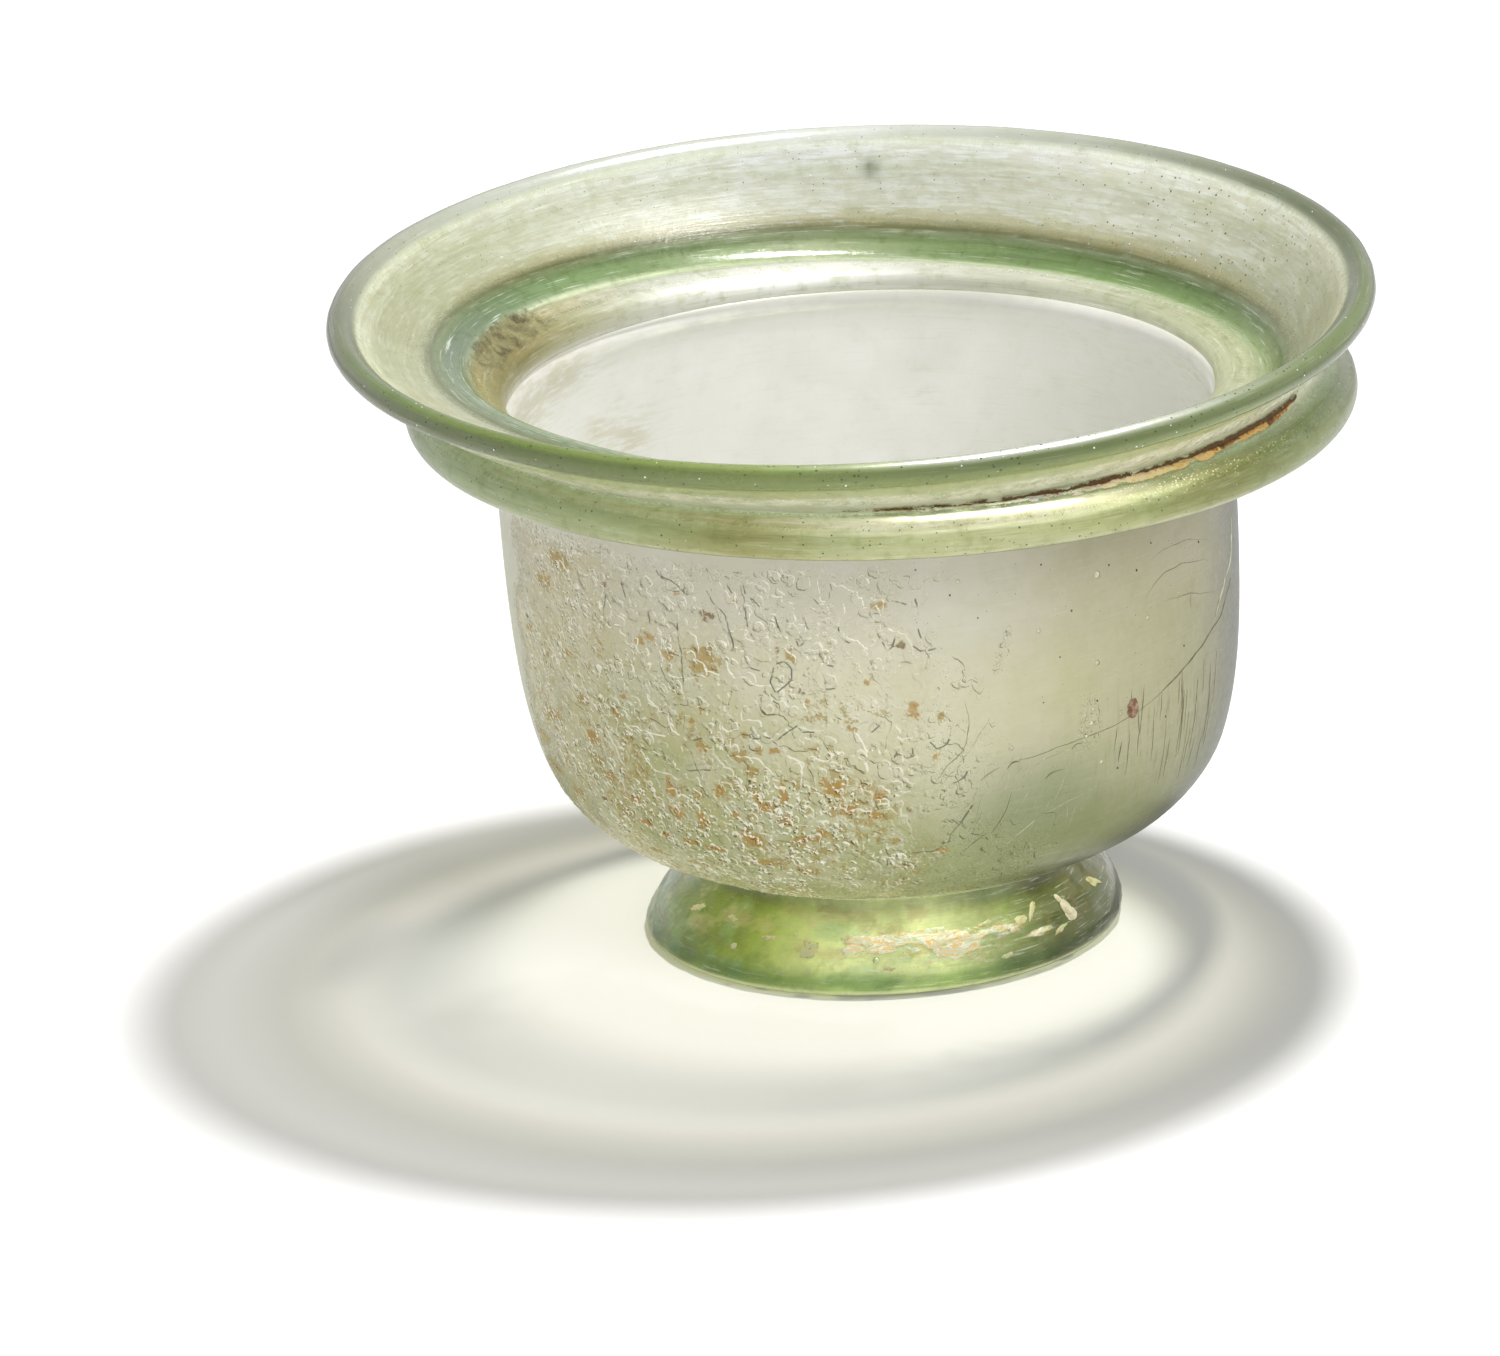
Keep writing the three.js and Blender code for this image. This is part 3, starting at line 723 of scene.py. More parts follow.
    # painted highlight: a thin white line along the lip's crest at the front right
    painted_crest_glint = np.exp(-0.5 * ((z - 66.55) / 0.15) ** 2) * (r > 50.2) * gap(-68, 15)
    lay(np.clip(painted_crest_glint, 0, 1) * 0.9, np.array([1.0, 1.0, 0.97]))
    haze = np.clip(haze + 0.7 * painted_crest_glint, 0, 1)
    mirror = np.maximum(mirror, 0.30 * np.clip(painted_crest_glint, 0, 1))
    haze = np.clip(haze + 0.46 * wall_mask * facing(-15, 0.25, 1.0) + 0.25 * wall_mask * lo, 0, 0.97)
    # painted shade and painted highlight: a dark line low on the roll, then a bright line at its lower edge
    lay(roll * np.exp(-0.5 * ((turn_up + 60) / 5.0) ** 2) * 0.7, np.array([0.24, 0.27, 0.09]))
    painted_edge_line = roll * np.exp(-0.5 * ((turn_up + 46) / 4.5) ** 2) * (0.5 + 0.5 * facing(-90, -0.2, 0.4))
    lay(np.clip(painted_edge_line * 1.1, 0, 1), np.array([1.0, 1.0, 0.78]))
    haze = np.clip(haze + 0.5 * painted_edge_line, 0, 1)
    # a broad painted highlight high on the far wall
    painted_bloom = inside * gap(104, 13) * np.exp(-0.5 * ((z - 56.9) / 0.8) ** 2) * (z < 59) * (r < 39)
    shelf = inside * step(54.0, 55.0, z) * (1 - step(58.2, 58.8, z)) * (r < 39.5)
    lay(shelf, around(t, SHELF_ROUND))
    # painted shade: the inner corner ring is darkened and made milky, at the left and at the back
    corner = inside * (r < 36.4) * step(52.4, 53.4, z) * (1 - step(55.4, 56.2, z)) * facing(165, 0.0, 0.8)
    lay(corner * 0.85, np.array([0.64, 0.63, 0.60]))
    haze = np.maximum(haze, 0.94 * corner)
    far_corner = inside * (r < 36.4) * step(52.6, 53.6, z) * (1 - step(55.2, 55.8, z)) * facing(80, 0.2, 0.9)
    lay(far_corner * 0.8, np.array([0.74, 0.735, 0.71]))
    haze = np.maximum(haze, 0.9 * far_corner)
    # painted light: the inside wall low at the right is brightened towards white
    lay(0.9 * inside * (z < 55.5) * facing(28, 0.72, 0.98), np.array([1.0, 0.99, 0.99]))
    haze = np.clip(haze + 0.3 * inside * (z < 55.5) * facing(28, 0.72, 0.98), 0, 1)
    lay(np.clip(painted_bloom * 1.2, 0, 1), np.array([1.0, 1.0, 1.0]))
    haze = np.clip(haze + painted_bloom * 0.45 + 0.1 * shelf, 0, 1)
    # olive wash: earth worked into the film just above the throat and at the rim's right
    wash = funnel * (1 - step(60.3, 62.3, z)) * (0.35 + 0.65 * facing(85, -0.2, 0.7)) * 1.2
    wash = np.maximum(wash, funnel * 0.45)
    wash = np.maximum(wash, funnel * 0.55 * np.clip(facing(175, 0.2, 0.9) + facing(5, 0.3, 0.95), 0, 1))
    wash = np.maximum(wash, roll * (0.35 + 0.5 * gap(-106, 6) + 0.5 * gap(-45, 8)))
    wash = np.maximum(wash, inside * step(56.3, 57.2, z) * (1 - step(58.3, 58.9, z)) * (0.15 + 0.85 * facing(180, 0.5, 0.95)))
    wash = np.maximum(wash, flaky * 0.5)
    speck = np.clip(lip * (0.5 + 0.5 * facing(-95, -0.3, 0.6)) + roll * 0.8 + funnel * 0.45 + 0.12 * inside, 0, 1)
    speck = np.maximum(speck, 0.95 * funnel * facing(15, 0.4, 0.95))
    speck = np.maximum(speck, wall_mask * facing(-60, 0.3, 0.9) * 0.42)
    speck = np.maximum(speck, outside * (r > 20) * (1 - step(12.0, 17.0, z)) * 0.6)
    scratch = 0.5 * wall_mask * gap(-38, 11) * np.exp(-0.5 * ((z - 26.5) / 4.2) ** 2)
    streaky = np.clip(1 - 0.85 * wall_mask - 0.8 * inside * (z < 55.5) - 0.45 * funnel, 0, 1)
    streaky = np.maximum(streaky, outside * (1 - step(13.0, 19.0, z)))
    streaky = streaky * (1 - 0.75 * lip)
    # painted shade: weight for darkening the wall, lip and roll where they are seen edge on
    painted_edge_shade = np.clip(0.9 * wall_mask * facing(-8, 0.2, 0.8) + 0.35 * wall_mask + 0.85 * lip + 0.6 * roll, 0, 0.95)
    ring_cast = np.clip(roll + lip + funnel, 0, 1)
    # painted highlight: weight for sparkle dots on the roll's upper front
    painted_sparkle = roll * gap(-58, 19) * np.exp(-0.5 * ((turn_up - 52) / 24) ** 2)
    warm = inside * (z < 55.5)
    for at, high, wide, tall, much in (
        (132.5, 43.4, 3.5, 1.3, 0.85), (140, 45.6, 3, 1.2, 0.7), (136, 44.5, 7, 2.0, 0.5), (34, 51.0, 9, 1.2, 0.15),
        (46, 53.5, 7, 0.7, 0.2), (26, 48.8, 5, 1.0, 0.2), (52, 47.0, 7, 0.9, 0.15), (165, 51.5, 10, 3.0, 0.7),
        (150, 53.0, 8, 1.5, 0.8), (80, 44.0, 2, 0.5, 0.5), (16, 53.0, 8, 1.6, 0.4),
    ):
        wash = np.maximum(wash, warm * gap(at, wide) * np.exp(-0.5 * ((z - high) / tall) ** 2) * much)
    shade = shade * (1 - 0.16 * np.clip(roll + lip + funnel, 0, 1) * facing(10, 0.3, 0.95))
    shade = shade * (1 - 0.09 * np.clip(roll + lip + funnel, 0, 1))
    # the lip is at its darkest where it is seen edge on
    firm = lip * np.clip(1.25 - 0.9 * facing(-95, 0.45, 0.9), 0, 1.2)
    haze = np.maximum(haze, firm)
    margin = throat * np.clip(step(59.40, 59.75, z) + 1 - step(58.22, 58.42, z), 0, 1)
    haze = np.maximum(haze, 1.1 * margin * (1 - 0.7 * facing(98, 0.6, 0.95)))
    haze = np.maximum(haze, 1.05 * np.clip(brim, 0, 1))
    haze = np.maximum(haze, 1.12 * left_throat)
    mirror = np.maximum(mirror, 0.85 * np.clip(painted_edge_line, 0, 1))

    def spread(a, last):
        flat = a.reshape(n * m, -1)
        return np.concatenate([flat, np.repeat(np.array([last], float).reshape(1, -1), more, 0)])

    return {
        "film": spread(film, rows[0, 7:10]),
        "haze": spread(haze, [rows[0, 5]])[:, 0],
        "rough": spread(rough, [rows[0, 6]])[:, 0],
        "shade": spread(shade, [rows[0, 10]])[:, 0],
        "wash": spread(wash, [0])[:, 0],
        "mirror": spread(mirror, [0])[:, 0],
        "painted_sparkle": spread(painted_sparkle, [0])[:, 0],
        "scratch": spread(scratch, [0])[:, 0],
        "streaky": spread(streaky, [0.3])[:, 0],
        "painted_edge_shade": spread(painted_edge_shade, [0])[:, 0],
        "ring_cast": spread(ring_cast, [0])[:, 0],
        "pale_inside": spread(warm, [0])[:, 0],
        "speck": spread(speck, [0])[:, 0],
    }


vessel = lathe("bowl_glass", VESSEL_ROWS, 376, False, push=hand_made, extra=tones)


def glass_material(name, tint_density, tint, streaks, dotted=True, cast=(1.0, 0.978, 0.94), turned=0.92):
    m = Nodes(name)
    p = m.mm()
    turn = m.attr("turn", True)
    haze = m.attr("haze")
    film = m.colour_attr("film")
    rough = m.attr("rough")
    mott = m.noise(p, 0.22, 4.0, 0.6)
    fine = m.noise(p, 1.6, 4.0, 0.6)
    stretched = m.vmath("MULTIPLY", turn, (2.2, 2.2, 14.0))
    lines = m.noise(stretched, 3.0, 4.0, 0.62)
    streaky = m.attr("streaky") if dotted else 0.8
    centred = m.math("MULTIPLY", m.math("SUBTRACT", lines, 0.5), streaky)
    milky = m.math("MULTIPLY_ADD", m.math("SUBTRACT", mott, 0.5), 0.45, haze)
    milky = m.math("MULTIPLY_ADD", m.math("SUBTRACT", fine, 0.5), 0.22, milky)
    milky = m.math("MULTIPLY_ADD", centred, streaks, milky, clamp=True)
    tinge = m.span(mott, 0.35, 0.68, 0.0, 0.6)
    if dotted:
        tinge = m.math("MULTIPLY", tinge, m.math("SUBTRACT", 1.0, m.math("MULTIPLY", m.attr("pale_inside"), 0.75)))
    colour = m.blend(tinge, film, m.blend(1.0, film, (0.90, 0.92, 0.82), "MULTIPLY"))
    dull = m.math("MULTIPLY", m.span(lines, 0.52, 0.72, 0.0, 0.75), streaky)
    colour = m.blend(dull, colour, m.blend(1.0, colour, (0.66, 0.68, 0.50), "MULTIPLY"))
    colour = m.blend(m.math("MULTIPLY", m.span(lines, 0.28, 0.44, 0.45, 0.0), streaky), colour, (0.92, 0.93, 0.86))
    cloud = m.noise(p, 0.55, 5.0, 0.68)
    colour = m.blend(m.math("MULTIPLY", m.span(cloud, 0.50, 0.66, 0.0, 0.55), streaky), colour, m.blend(1.0, colour, (0.62, 0.66, 0.48), "MULTIPLY"))
    # painted shade: surfaces seen at a grazing angle are darkened, as much as the per-vertex edge weight asks
    aslant = m.new("ShaderNodeLayerWeight")
    aslant.inputs["Blend"].default_value = 0.5
    painted_edge_darkening = m.math("MULTIPLY", m.span(aslant.outputs["Facing"], 0.55, 0.95), m.attr("painted_edge_shade"))
    colour = m.blend(painted_edge_darkening, colour, m.blend(1.0, colour, (0.22, 0.24, 0.16), "MULTIPLY"))
    milky = m.math("MAXIMUM", milky, painted_edge_darkening, clamp=True)
    if dotted:
        wash = m.attr("wash")
        patch = m.noise(m.vmath("MULTIPLY", turn, (4.0, 4.0, 6.0)), 3.4, 5.0, 0.65)
        amount = m.math("MULTIPLY", wash, m.span(m.math("MULTIPLY_ADD", wash, 0.18, patch), 0.46, 0.66))
        colour = m.blend(m.math("MULTIPLY", amount, 0.85), colour, m.blend(1.0, colour, (0.64, 0.59, 0.38), "MULTIPLY"))
        milky = m.math("MAXIMUM", milky, m.math("MULTIPLY", amount, 0.75))
        thin = m.noise(m.vmath("MULTIPLY", turn, (36.0, 36.0, 1.1)), 2.3, 3.0, 0.6)
        scratched = m.math("MULTIPLY", m.span(thin, 0.54, 0.66), m.attr("scratch"))
        colour = m.blend(m.math("MULTIPLY", scratched, 0.9), colour, m.blend(1.0, colour, (0.36, 0.35, 0.22), "MULTIPLY"))
        milky = m.math("MAXIMUM", milky, m.math("MULTIPLY", scratched, 0.85))
        speck = m.attr("speck")
        near = m.voronoi(p, 1.7)
        pick = m.voronoi(p, 1.7, out="Color")
        sort = m.new("ShaderNodeSeparateColor")
        m.put(sort.inputs[0], pick)
        size = m.math("MULTIPLY", m.math("MULTIPLY_ADD", sort.outputs[1], 0.17, 0.07), speck)
        dot = m.math("MULTIPLY", m.math("LESS_THAN", near, size), 1.0)
        dark_dot = m.math("MULTIPLY", dot, m.math("LESS_THAN", sort.outputs[0], 0.60))
        # painted highlight: small white glint dots among the dark specks
        painted_glint_dot = m.math("MULTIPLY", m.math("LESS_THAN", near, m.math("MULTIPLY", size, 0.75)), m.math("GREATER_THAN", sort.outputs[0], 0.87))
        colour = m.blend(m.math("MULTIPLY", dark_dot, 0.9), colour, (0.06, 0.065, 0.03))
        colour = m.blend(painted_glint_dot, colour, (1.0, 1.0, 0.96))
        milky = m.math("MAXIMUM", milky, m.math("MAXIMUM", dark_dot, painted_glint_dot))
        # painted highlight: tiny pale glitter dots, where the sparkle weight asks
        painted_glitter = m.math("LESS_THAN", m.voronoi(p, 2.7), m.math("MULTIPLY", m.attr("painted_sparkle"), 0.34))
        colour = m.blend(painted_glitter, colour, (1.0, 0.98, 0.62))
        milky = m.math("MAXIMUM", milky, painted_glitter)
    trans = m.math("SUBTRACT", 1.0, milky, clamp=True)
    bumpy = m.bump(fine, 0.15, 0.10)
    bumpy = m.bump(lines, 0.15, 0.12, bumpy)
    shader = m.principled(
        Base_Color=colour,
        Roughness=m.math("MULTIPLY_ADD", m.math("SUBTRACT", fine, 0.5), 0.18, rough, clamp=True),
        Transmission_Weight=trans,
        Metallic=m.attr("mirror") if dotted else 0.0,
        Normal=bumpy,
        IOR=1.5,
    )
    shade = m.attr("shade")
    tinted = m.new("ShaderNodeCombineColor")
    ring_cast = m.attr("ring_cast")
    for k, warmer in enumerate((0.0, 0.012, 0.07)):
        m.put(tinted.inputs[k], m.math("MULTIPLY", shade, m.math("MULTIPLY_ADD", ring_cast, -warmer, cast[k])))
    surface = let_lamps_through(m, shader.outputs[0], tinted.outputs[0], turned=turned)
    return m.finish(surface, absorb(m, tint, tint_density))


vessel.data.materials.append(
    glass_material("hazy_green_glass", 90.0, (0.60, 0.74, 0.40), 0.32)
)
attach(vessel, "root")
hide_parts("vessel")

# ---------------------------------------------------------------------------------------------
# Foot ring and pontil scar
# ---------------------------------------------------------------------------------------------
FOOT_ROWS = smooth(foot_table(), 0.42, True, tight=(0, 2))


def foot_push(rows, theta, p):
    r, z = rows[:, 0][:, None], rows[:, 1][:, None]
    x, y = np.cos(theta)[None] * 2.2, np.sin(theta)[None] * 2.2
    free = step(0.15, 1.2, z) * (1 - step(6.5, 8.0, z))
    n1 = fbm(x + 0 * z, y + 0 * z, z * 0.2 + 0 * x, 21, 3) - 0.5
    n2 = fbm(x * 4 + 0 * z, y * 4 + 0 * z, z * 0.9 + 0 * x, 29, 3) - 0.5
    side = (n1 * 0.35 + n2 * 0.30) * free
    c, s = np.cos(theta)[None], np.sin(theta)[None]
    return np.stack([side * c, side * s, -0.02 * step(7.9, 8.05, z) + 0 * side], -1)


# Foot film by angle: painted light at the front centre and painted shade at the right side
FOOT_FILM_LIGHT_AND_SHADE = [
    (-180, (0.30, 0.34, 0.16)), (-150, (0.30, 0.36, 0.07)), (-128, (0.40, 0.48, 0.10)), (-102, (0.90, 0.95, 0.48)),
    (-78, (0.92, 0.97, 0.52)), (-58, (0.40, 0.48, 0.18)), (-42, (0.14, 0.16, 0.030)), (-10, (0.12, 0.135, 0.030)),
    (90, (0.42, 0.50, 0.26)), (180, (0.26, 0.30, 0.14)),
]


def foot_tones(rows, theta, verts, more):
    n, m = len(rows), len(theta)
    r = np.repeat(rows[:, 0][:, None], m, 1)
    z = np.repeat(rows[:, 1][:, None], m, 1)
    t = np.repeat(theta[None], n, 0)
    film = around(t, FOOT_FILM_LIGHT_AND_SHADE)
    x, y = np.cos(t) * 24, np.sin(t) * 24
    cloud = fbm(x * 0.30, y * 0.30, z * 0.42, seed=33, octaves=4, gain=0.6)
    film = film * (0.55 + 0.9 * cloud)[..., None]
    teal = step(0.52, 0.62, fbm(x * 0.26 + 9, y * 0.26, z * 0.5, seed=35, octaves=4, gain=0.6))
    # painted shade: the foot's right side is darkened and made milky
    painted_right_shade = step(0.55, 0.9, np.cos(t - math.radians(-22)))
    teal = teal * (1 - 0.85 * painted_right_shade)
    film = film * (1 - 0.45 * teal[..., None]) + 0.45 * teal[..., None] * np.array([0.27, 0.46, 0.22])
    rusty = step(0.54, 0.62, fbm(x * 0.34, y * 0.34 + 5, z * 0.7, seed=37, octaves=4, gain=0.6)) * step(3.0, 4.2, z) * (1 - 0.6 * painted_right_shade)
    film = film * (1 - 0.5 * rusty[..., None]) + 0.5 * rusty[..., None] * np.array([0.52, 0.44, 0.20])
    film = film * (1 - 0.30 * painted_right_shade)[..., None]
    low = (1 - step(1.6, 3.2, z)) * (r > 22.0)
    film = film * (1 - low[..., None] * np.array([0.62, 0.50, 0.70]))
    # painted highlight: a bright line just above the foot's lower edge
    line = np.exp(-0.5 * ((z - 0.42) / 0.20) ** 2) * (r > 22.8)
    film = film * (1 - line[..., None] * 0.9) + line[..., None] * 0.9 * np.array([0.98, 1.0, 0.62])
    haze = np.clip(0.46 + 0.2 * (teal + rusty) + 0.25 * step(0.6, 1.0, np.cos(t - math.radians(-80))) + 0.4 * line + 0.35 * low, 0, 0.96)
    haze = np.maximum(haze, 1.15 * painted_right_shade)
    # painted shade: the downward-facing underside of the foot is darkened
    under = (1 - step(0.08, 0.20, z)) * (r > 19.5)
    film = film * (1 - under[..., None]) + under[..., None] * np.array([0.10, 0.14, 0.03])
    haze = np.maximum(haze, 1.15 * under)
    neck = step(6.4, 7.4, z) * (r > 18.5)
    film = film * (1 - neck[..., None] * 0.25)
    # painted shade: edge darkening weight for the foot, strongest at its right
    painted_edge_shade = 0.45 + 0.5 * step(0.2, 0.8, np.cos(t - math.radians(-22)))
    return {"film": film.reshape(n * m, 3), "haze": haze.reshape(-1), "painted_edge_shade": painted_edge_shade.reshape(-1)}


foot = lathe("foot_ring_glass", FOOT_ROWS, 420, True, push=foot_push, extra=foot_tones)
foot.data.materials.append(
    glass_material("thick_green_glass", 120.0, (0.56, 0.72, 0.20), 0.45, False, (0.93, 0.92, 0.74), 0.4)
)
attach(foot, "root")
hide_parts("foot_ring")

SCAR_ROWS = smooth(scar_table(), 0.3, True, tight=(0, 2))


def scar_push(rows, theta, p):
    z = rows[:, 1][:, None]
    low = 1 - step(8.0, 8.3, z)
    x, y = np.cos(theta)[None] * 3, np.sin(theta)[None] * 3
    f1, f2, own = cells(p[..., 0] * 0.9, p[..., 1] * 0.9, 4)
    chips = (own - 0.5) * 0.25 * step(0.0, 0.2, f2 - f1)
    up = (0.16 * np.sin(3 * theta + 0.7) + 0.12 * np.sin(7 * theta))[None] * low + chips * low
    return np.stack([0 * up, 0 * up, up], -1)


scar = lathe("pontil_scar_glass", SCAR_ROWS, 180, True, push=scar_push)
scar.data.materials.append(
    glass_material("broken_green_glass", 130.0, (0.60, 0.72, 0.28), 0.2, False)
)
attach(scar, "root")
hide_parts("pontil_scar")

# ---------------------------------------------------------------------------------------------
# Thin layers that lie on the glass: skins and soil
# ---------------------------------------------------------------------------------------------
def ring_length(rows):
    return np.concatenate([[0], np.cumsum(np.hypot(*(np.diff(rows[:, :2], axis=0).T)))])


def rows_between(rows, start, end, count):
    """count rows along the drawn profile, from the row nearest (r, z) start to the one nearest end."""
    length = ring_length(rows)
    a = length[np.argmin(np.hypot(rows[:, 0] - start[0], rows[:, 1] - start[1]))]
    b = length[np.argmin(np.hypot(rows[:, 0] - end[0], rows[:, 1] - end[1]))]
    at = np.linspace(a, b, count)
    return np.stack([np.interp(at, length, rows[:, k]) for k in range(rows.shape[1])], 1), at - a


def normals_of(p):
    n = np.cross(np.gradient(p, axis=1), np.gradient(p, axis=0))
    return n / np.linalg.norm(n, axis=-1, keepdims=True)


def shell(name, base, thick, attributes, k=5, lift=0.015):
    """A closed layer on a grid of surface points: a fine face, a coarse back, joined at the outline."""
    nv, nu = base.shape[:2]
    n = normals_of(base)
    t = thick.copy()
    t[0] = t[-1] = 0
    t[:, 0] = t[:, -1] = 0
    front = base + n * (lift + t)[..., None]
    under = base + n * lift
    J, I = (nv - 1) // k, (nu - 1) // k
    inner_j, inner_i = np.meshgrid(np.arange(1, J) * k, np.arange(1, I) * k, indexing="ij")
    verts = np.concatenate([front.reshape(-1, 3), under[inner_j, inner_i].reshape(-1, 3)])
    first = nv * nu

    def at(j, i):
        if j in (0, J) or i in (0, I):
            return j * k * nu + i * k
        return first + (j - 1) * (I - 1) + (i - 1)

    by_size = {}
    for j in range(J):
        for i in range(I):
            poly = [at(j, i)]
            if i == 0:
                poly += [(j * k + q) * nu for q in range(1, k)]
            poly.append(at(j + 1, i))
            if j + 1 == J:
                poly += [(nv - 1) * nu + i * k + q for q in range(1, k)]
            poly.append(at(j + 1, i + 1))
            if i + 1 == I:
                poly += [((j + 1) * k - q) * nu + nu - 1 for q in range(1, k)]
            poly.append(at(j, i + 1))
            if j == 0:
                poly += [(i + 1) * k - q for q in range(1, k)]
            by_size.setdefault(len(poly), []).append(poly)
    # the four corner quads are cut through their corner, so no diagonal there meets the back's
    quads = grid_faces(nv, nu, False)
    corners = [0, nu - 2, (nv - 1) * (nu - 1) - 1, (nv - 2) * (nu - 1)]
    cut = []
    for turn, which in enumerate(corners):
        q = np.roll(quads[which], -turn)
        cut += [(q[0], q[1], q[2]), (q[0], q[2], q[3])]
    faces = [np.delete(quads, corners, 0), np.array(cut)] + [np.array(v) for v in by_size.values()]
    full = {}
    for key, data in attributes.items():
        flat = data.reshape(first, -1)
        extra = data[inner_j, inner_i].reshape(len(verts) - first, -1)
        both = np.concatenate([flat, extra])
        full[key] = both[:, 0] if both.shape[1] == 1 else both
    back = np.zeros(len(verts))
    back[first:] = 1
    full["back"] = back
    return mesh_object(name, verts, faces, full)


# Larger cracks and stains of the wall's skin, each at (angle in degrees, height in mm)
CRACKS = [
    [(235.1, 48.7), (236.1, 47.8), (238.1, 47.6), (239.6, 47.0), (240.8, 46.2)],
    [(243.7, 47.6), (244.4, 46.7), (245.2, 45.7), (247.0, 44.6), (247.8, 42.7), (247.8, 41.1)],
    [(249.6, 40.5), (250.5, 39.2), (251.9, 38.9)],
    [(228.1, 44.1), (224.9, 44.6), (224.2, 42.2)],
    [(228.6, 46.1), (229.5, 44.7), (229.7, 43.8)],
    [(219.1, 45.7), (220.2, 44.5)],
    [(224.6, 50.0), (224.6, 48.9)],
    [(238.6, 43.2), (238.9, 40.0), (238.8, 38.2), (238.7, 36.1)],
    [(234.9, 38.5), (235.6, 37.0), (237.1, 36.1)],
    [(233.6, 44.1), (233.8, 42.7)],
    [(238.8, 30.8), (241.2, 31.1)],
    [(237.6, 27.3), (242.4, 28.0)],
    [(249.4, 50.5), (250.5, 50.1), (253.2, 50.1)],
    [(247.7, 47.9), (248.5, 47.0)],
    [(235.4, 45.6), (236.5, 44.8), (237.2, 44.2)],
    [(235.4, 33.5), (237.1, 32.2)],
    [(249.2, 32.2), (249.4, 31.7), (250.8, 31.7)],
    [(255.9, 40.1), (254.3, 39.6), (253.4, 37.9), (254.3, 36.8), (255.9, 37.7), (257.0, 38.3), (257.0, 39.4), (255.9, 40.1)],
    [(250.4, 47.9), (250.5, 46.8), (251.7, 46.4), (252.6, 45.6)],
    [(250.2, 45.5), (250.5, 43.7), (251.5, 42.2), (251.6, 41.8)],
    [(259.3, 45.0), (259.5, 44.1), (260.1, 43.5)],
    [(254.9, 44.8), (255.7, 43.2)],
    [(257.9, 42.5), (258.4, 41.7), (259.3, 42.4), (258.7, 42.9)],
    [(264.8, 43.8), (264.7, 42.9), (266.0, 42.2), (266.8, 42.3)],
    [(271.1, 42.0), (271.8, 41.1), (272.8, 41.5), (273.1, 42.4)],
    [(276.5, 46.3), (276.8, 45.2), (276.5, 43.8), (277.0, 42.2)],
    [(275.6, 41.5), (276.7, 40.9), (279.1, 41.0)],
    [(279.9, 40.9), (282.3, 40.7), (282.5, 41.2)],
    [(281.9, 42.6), (282.8, 42.9), (283.1, 43.7), (282.3, 44.3)],
    [(277.4, 45.6), (278.6, 46.3), (279.7, 46.8)],
    [(272.3, 46.3), (273.6, 46.2), (275.1, 45.7)],
    [(251.5, 32.0), (253.6, 31.7), (255.0, 32.5), (257.2, 33.4), (258.0, 32.7), (259.8, 32.6)],
    [(251.7, 35.8), (251.6, 34.9), (252.5, 34.3), (254.3, 34.5)],
    [(268.3, 32.6), (269.7, 33.2), (270.2, 33.8)],
    [(261.3, 40.8), (262.4, 39.8), (263.5, 39.7)],
    [(261.9, 38.1), (262.1, 37.2), (263.5, 37.4)],
    [(271.7, 29.8), (271.9, 30.3), (273.7, 29.7), (274.7, 29.9), (274.6, 30.9)],
    [(277.5, 31.2), (278.5, 30.4), (279.9, 30.8), (280.6, 31.7)],
    [(284.6, 28.0), (283.1, 27.9), (282.4, 27.1), (280.6, 26.5)],
    [(283.7, 23.9), (281.9, 22.0), (279.9, 20.8), (279.7, 19.8)],
    [(273.9, 19.0), (277.1, 19.0), (278.6, 19.5)],
]
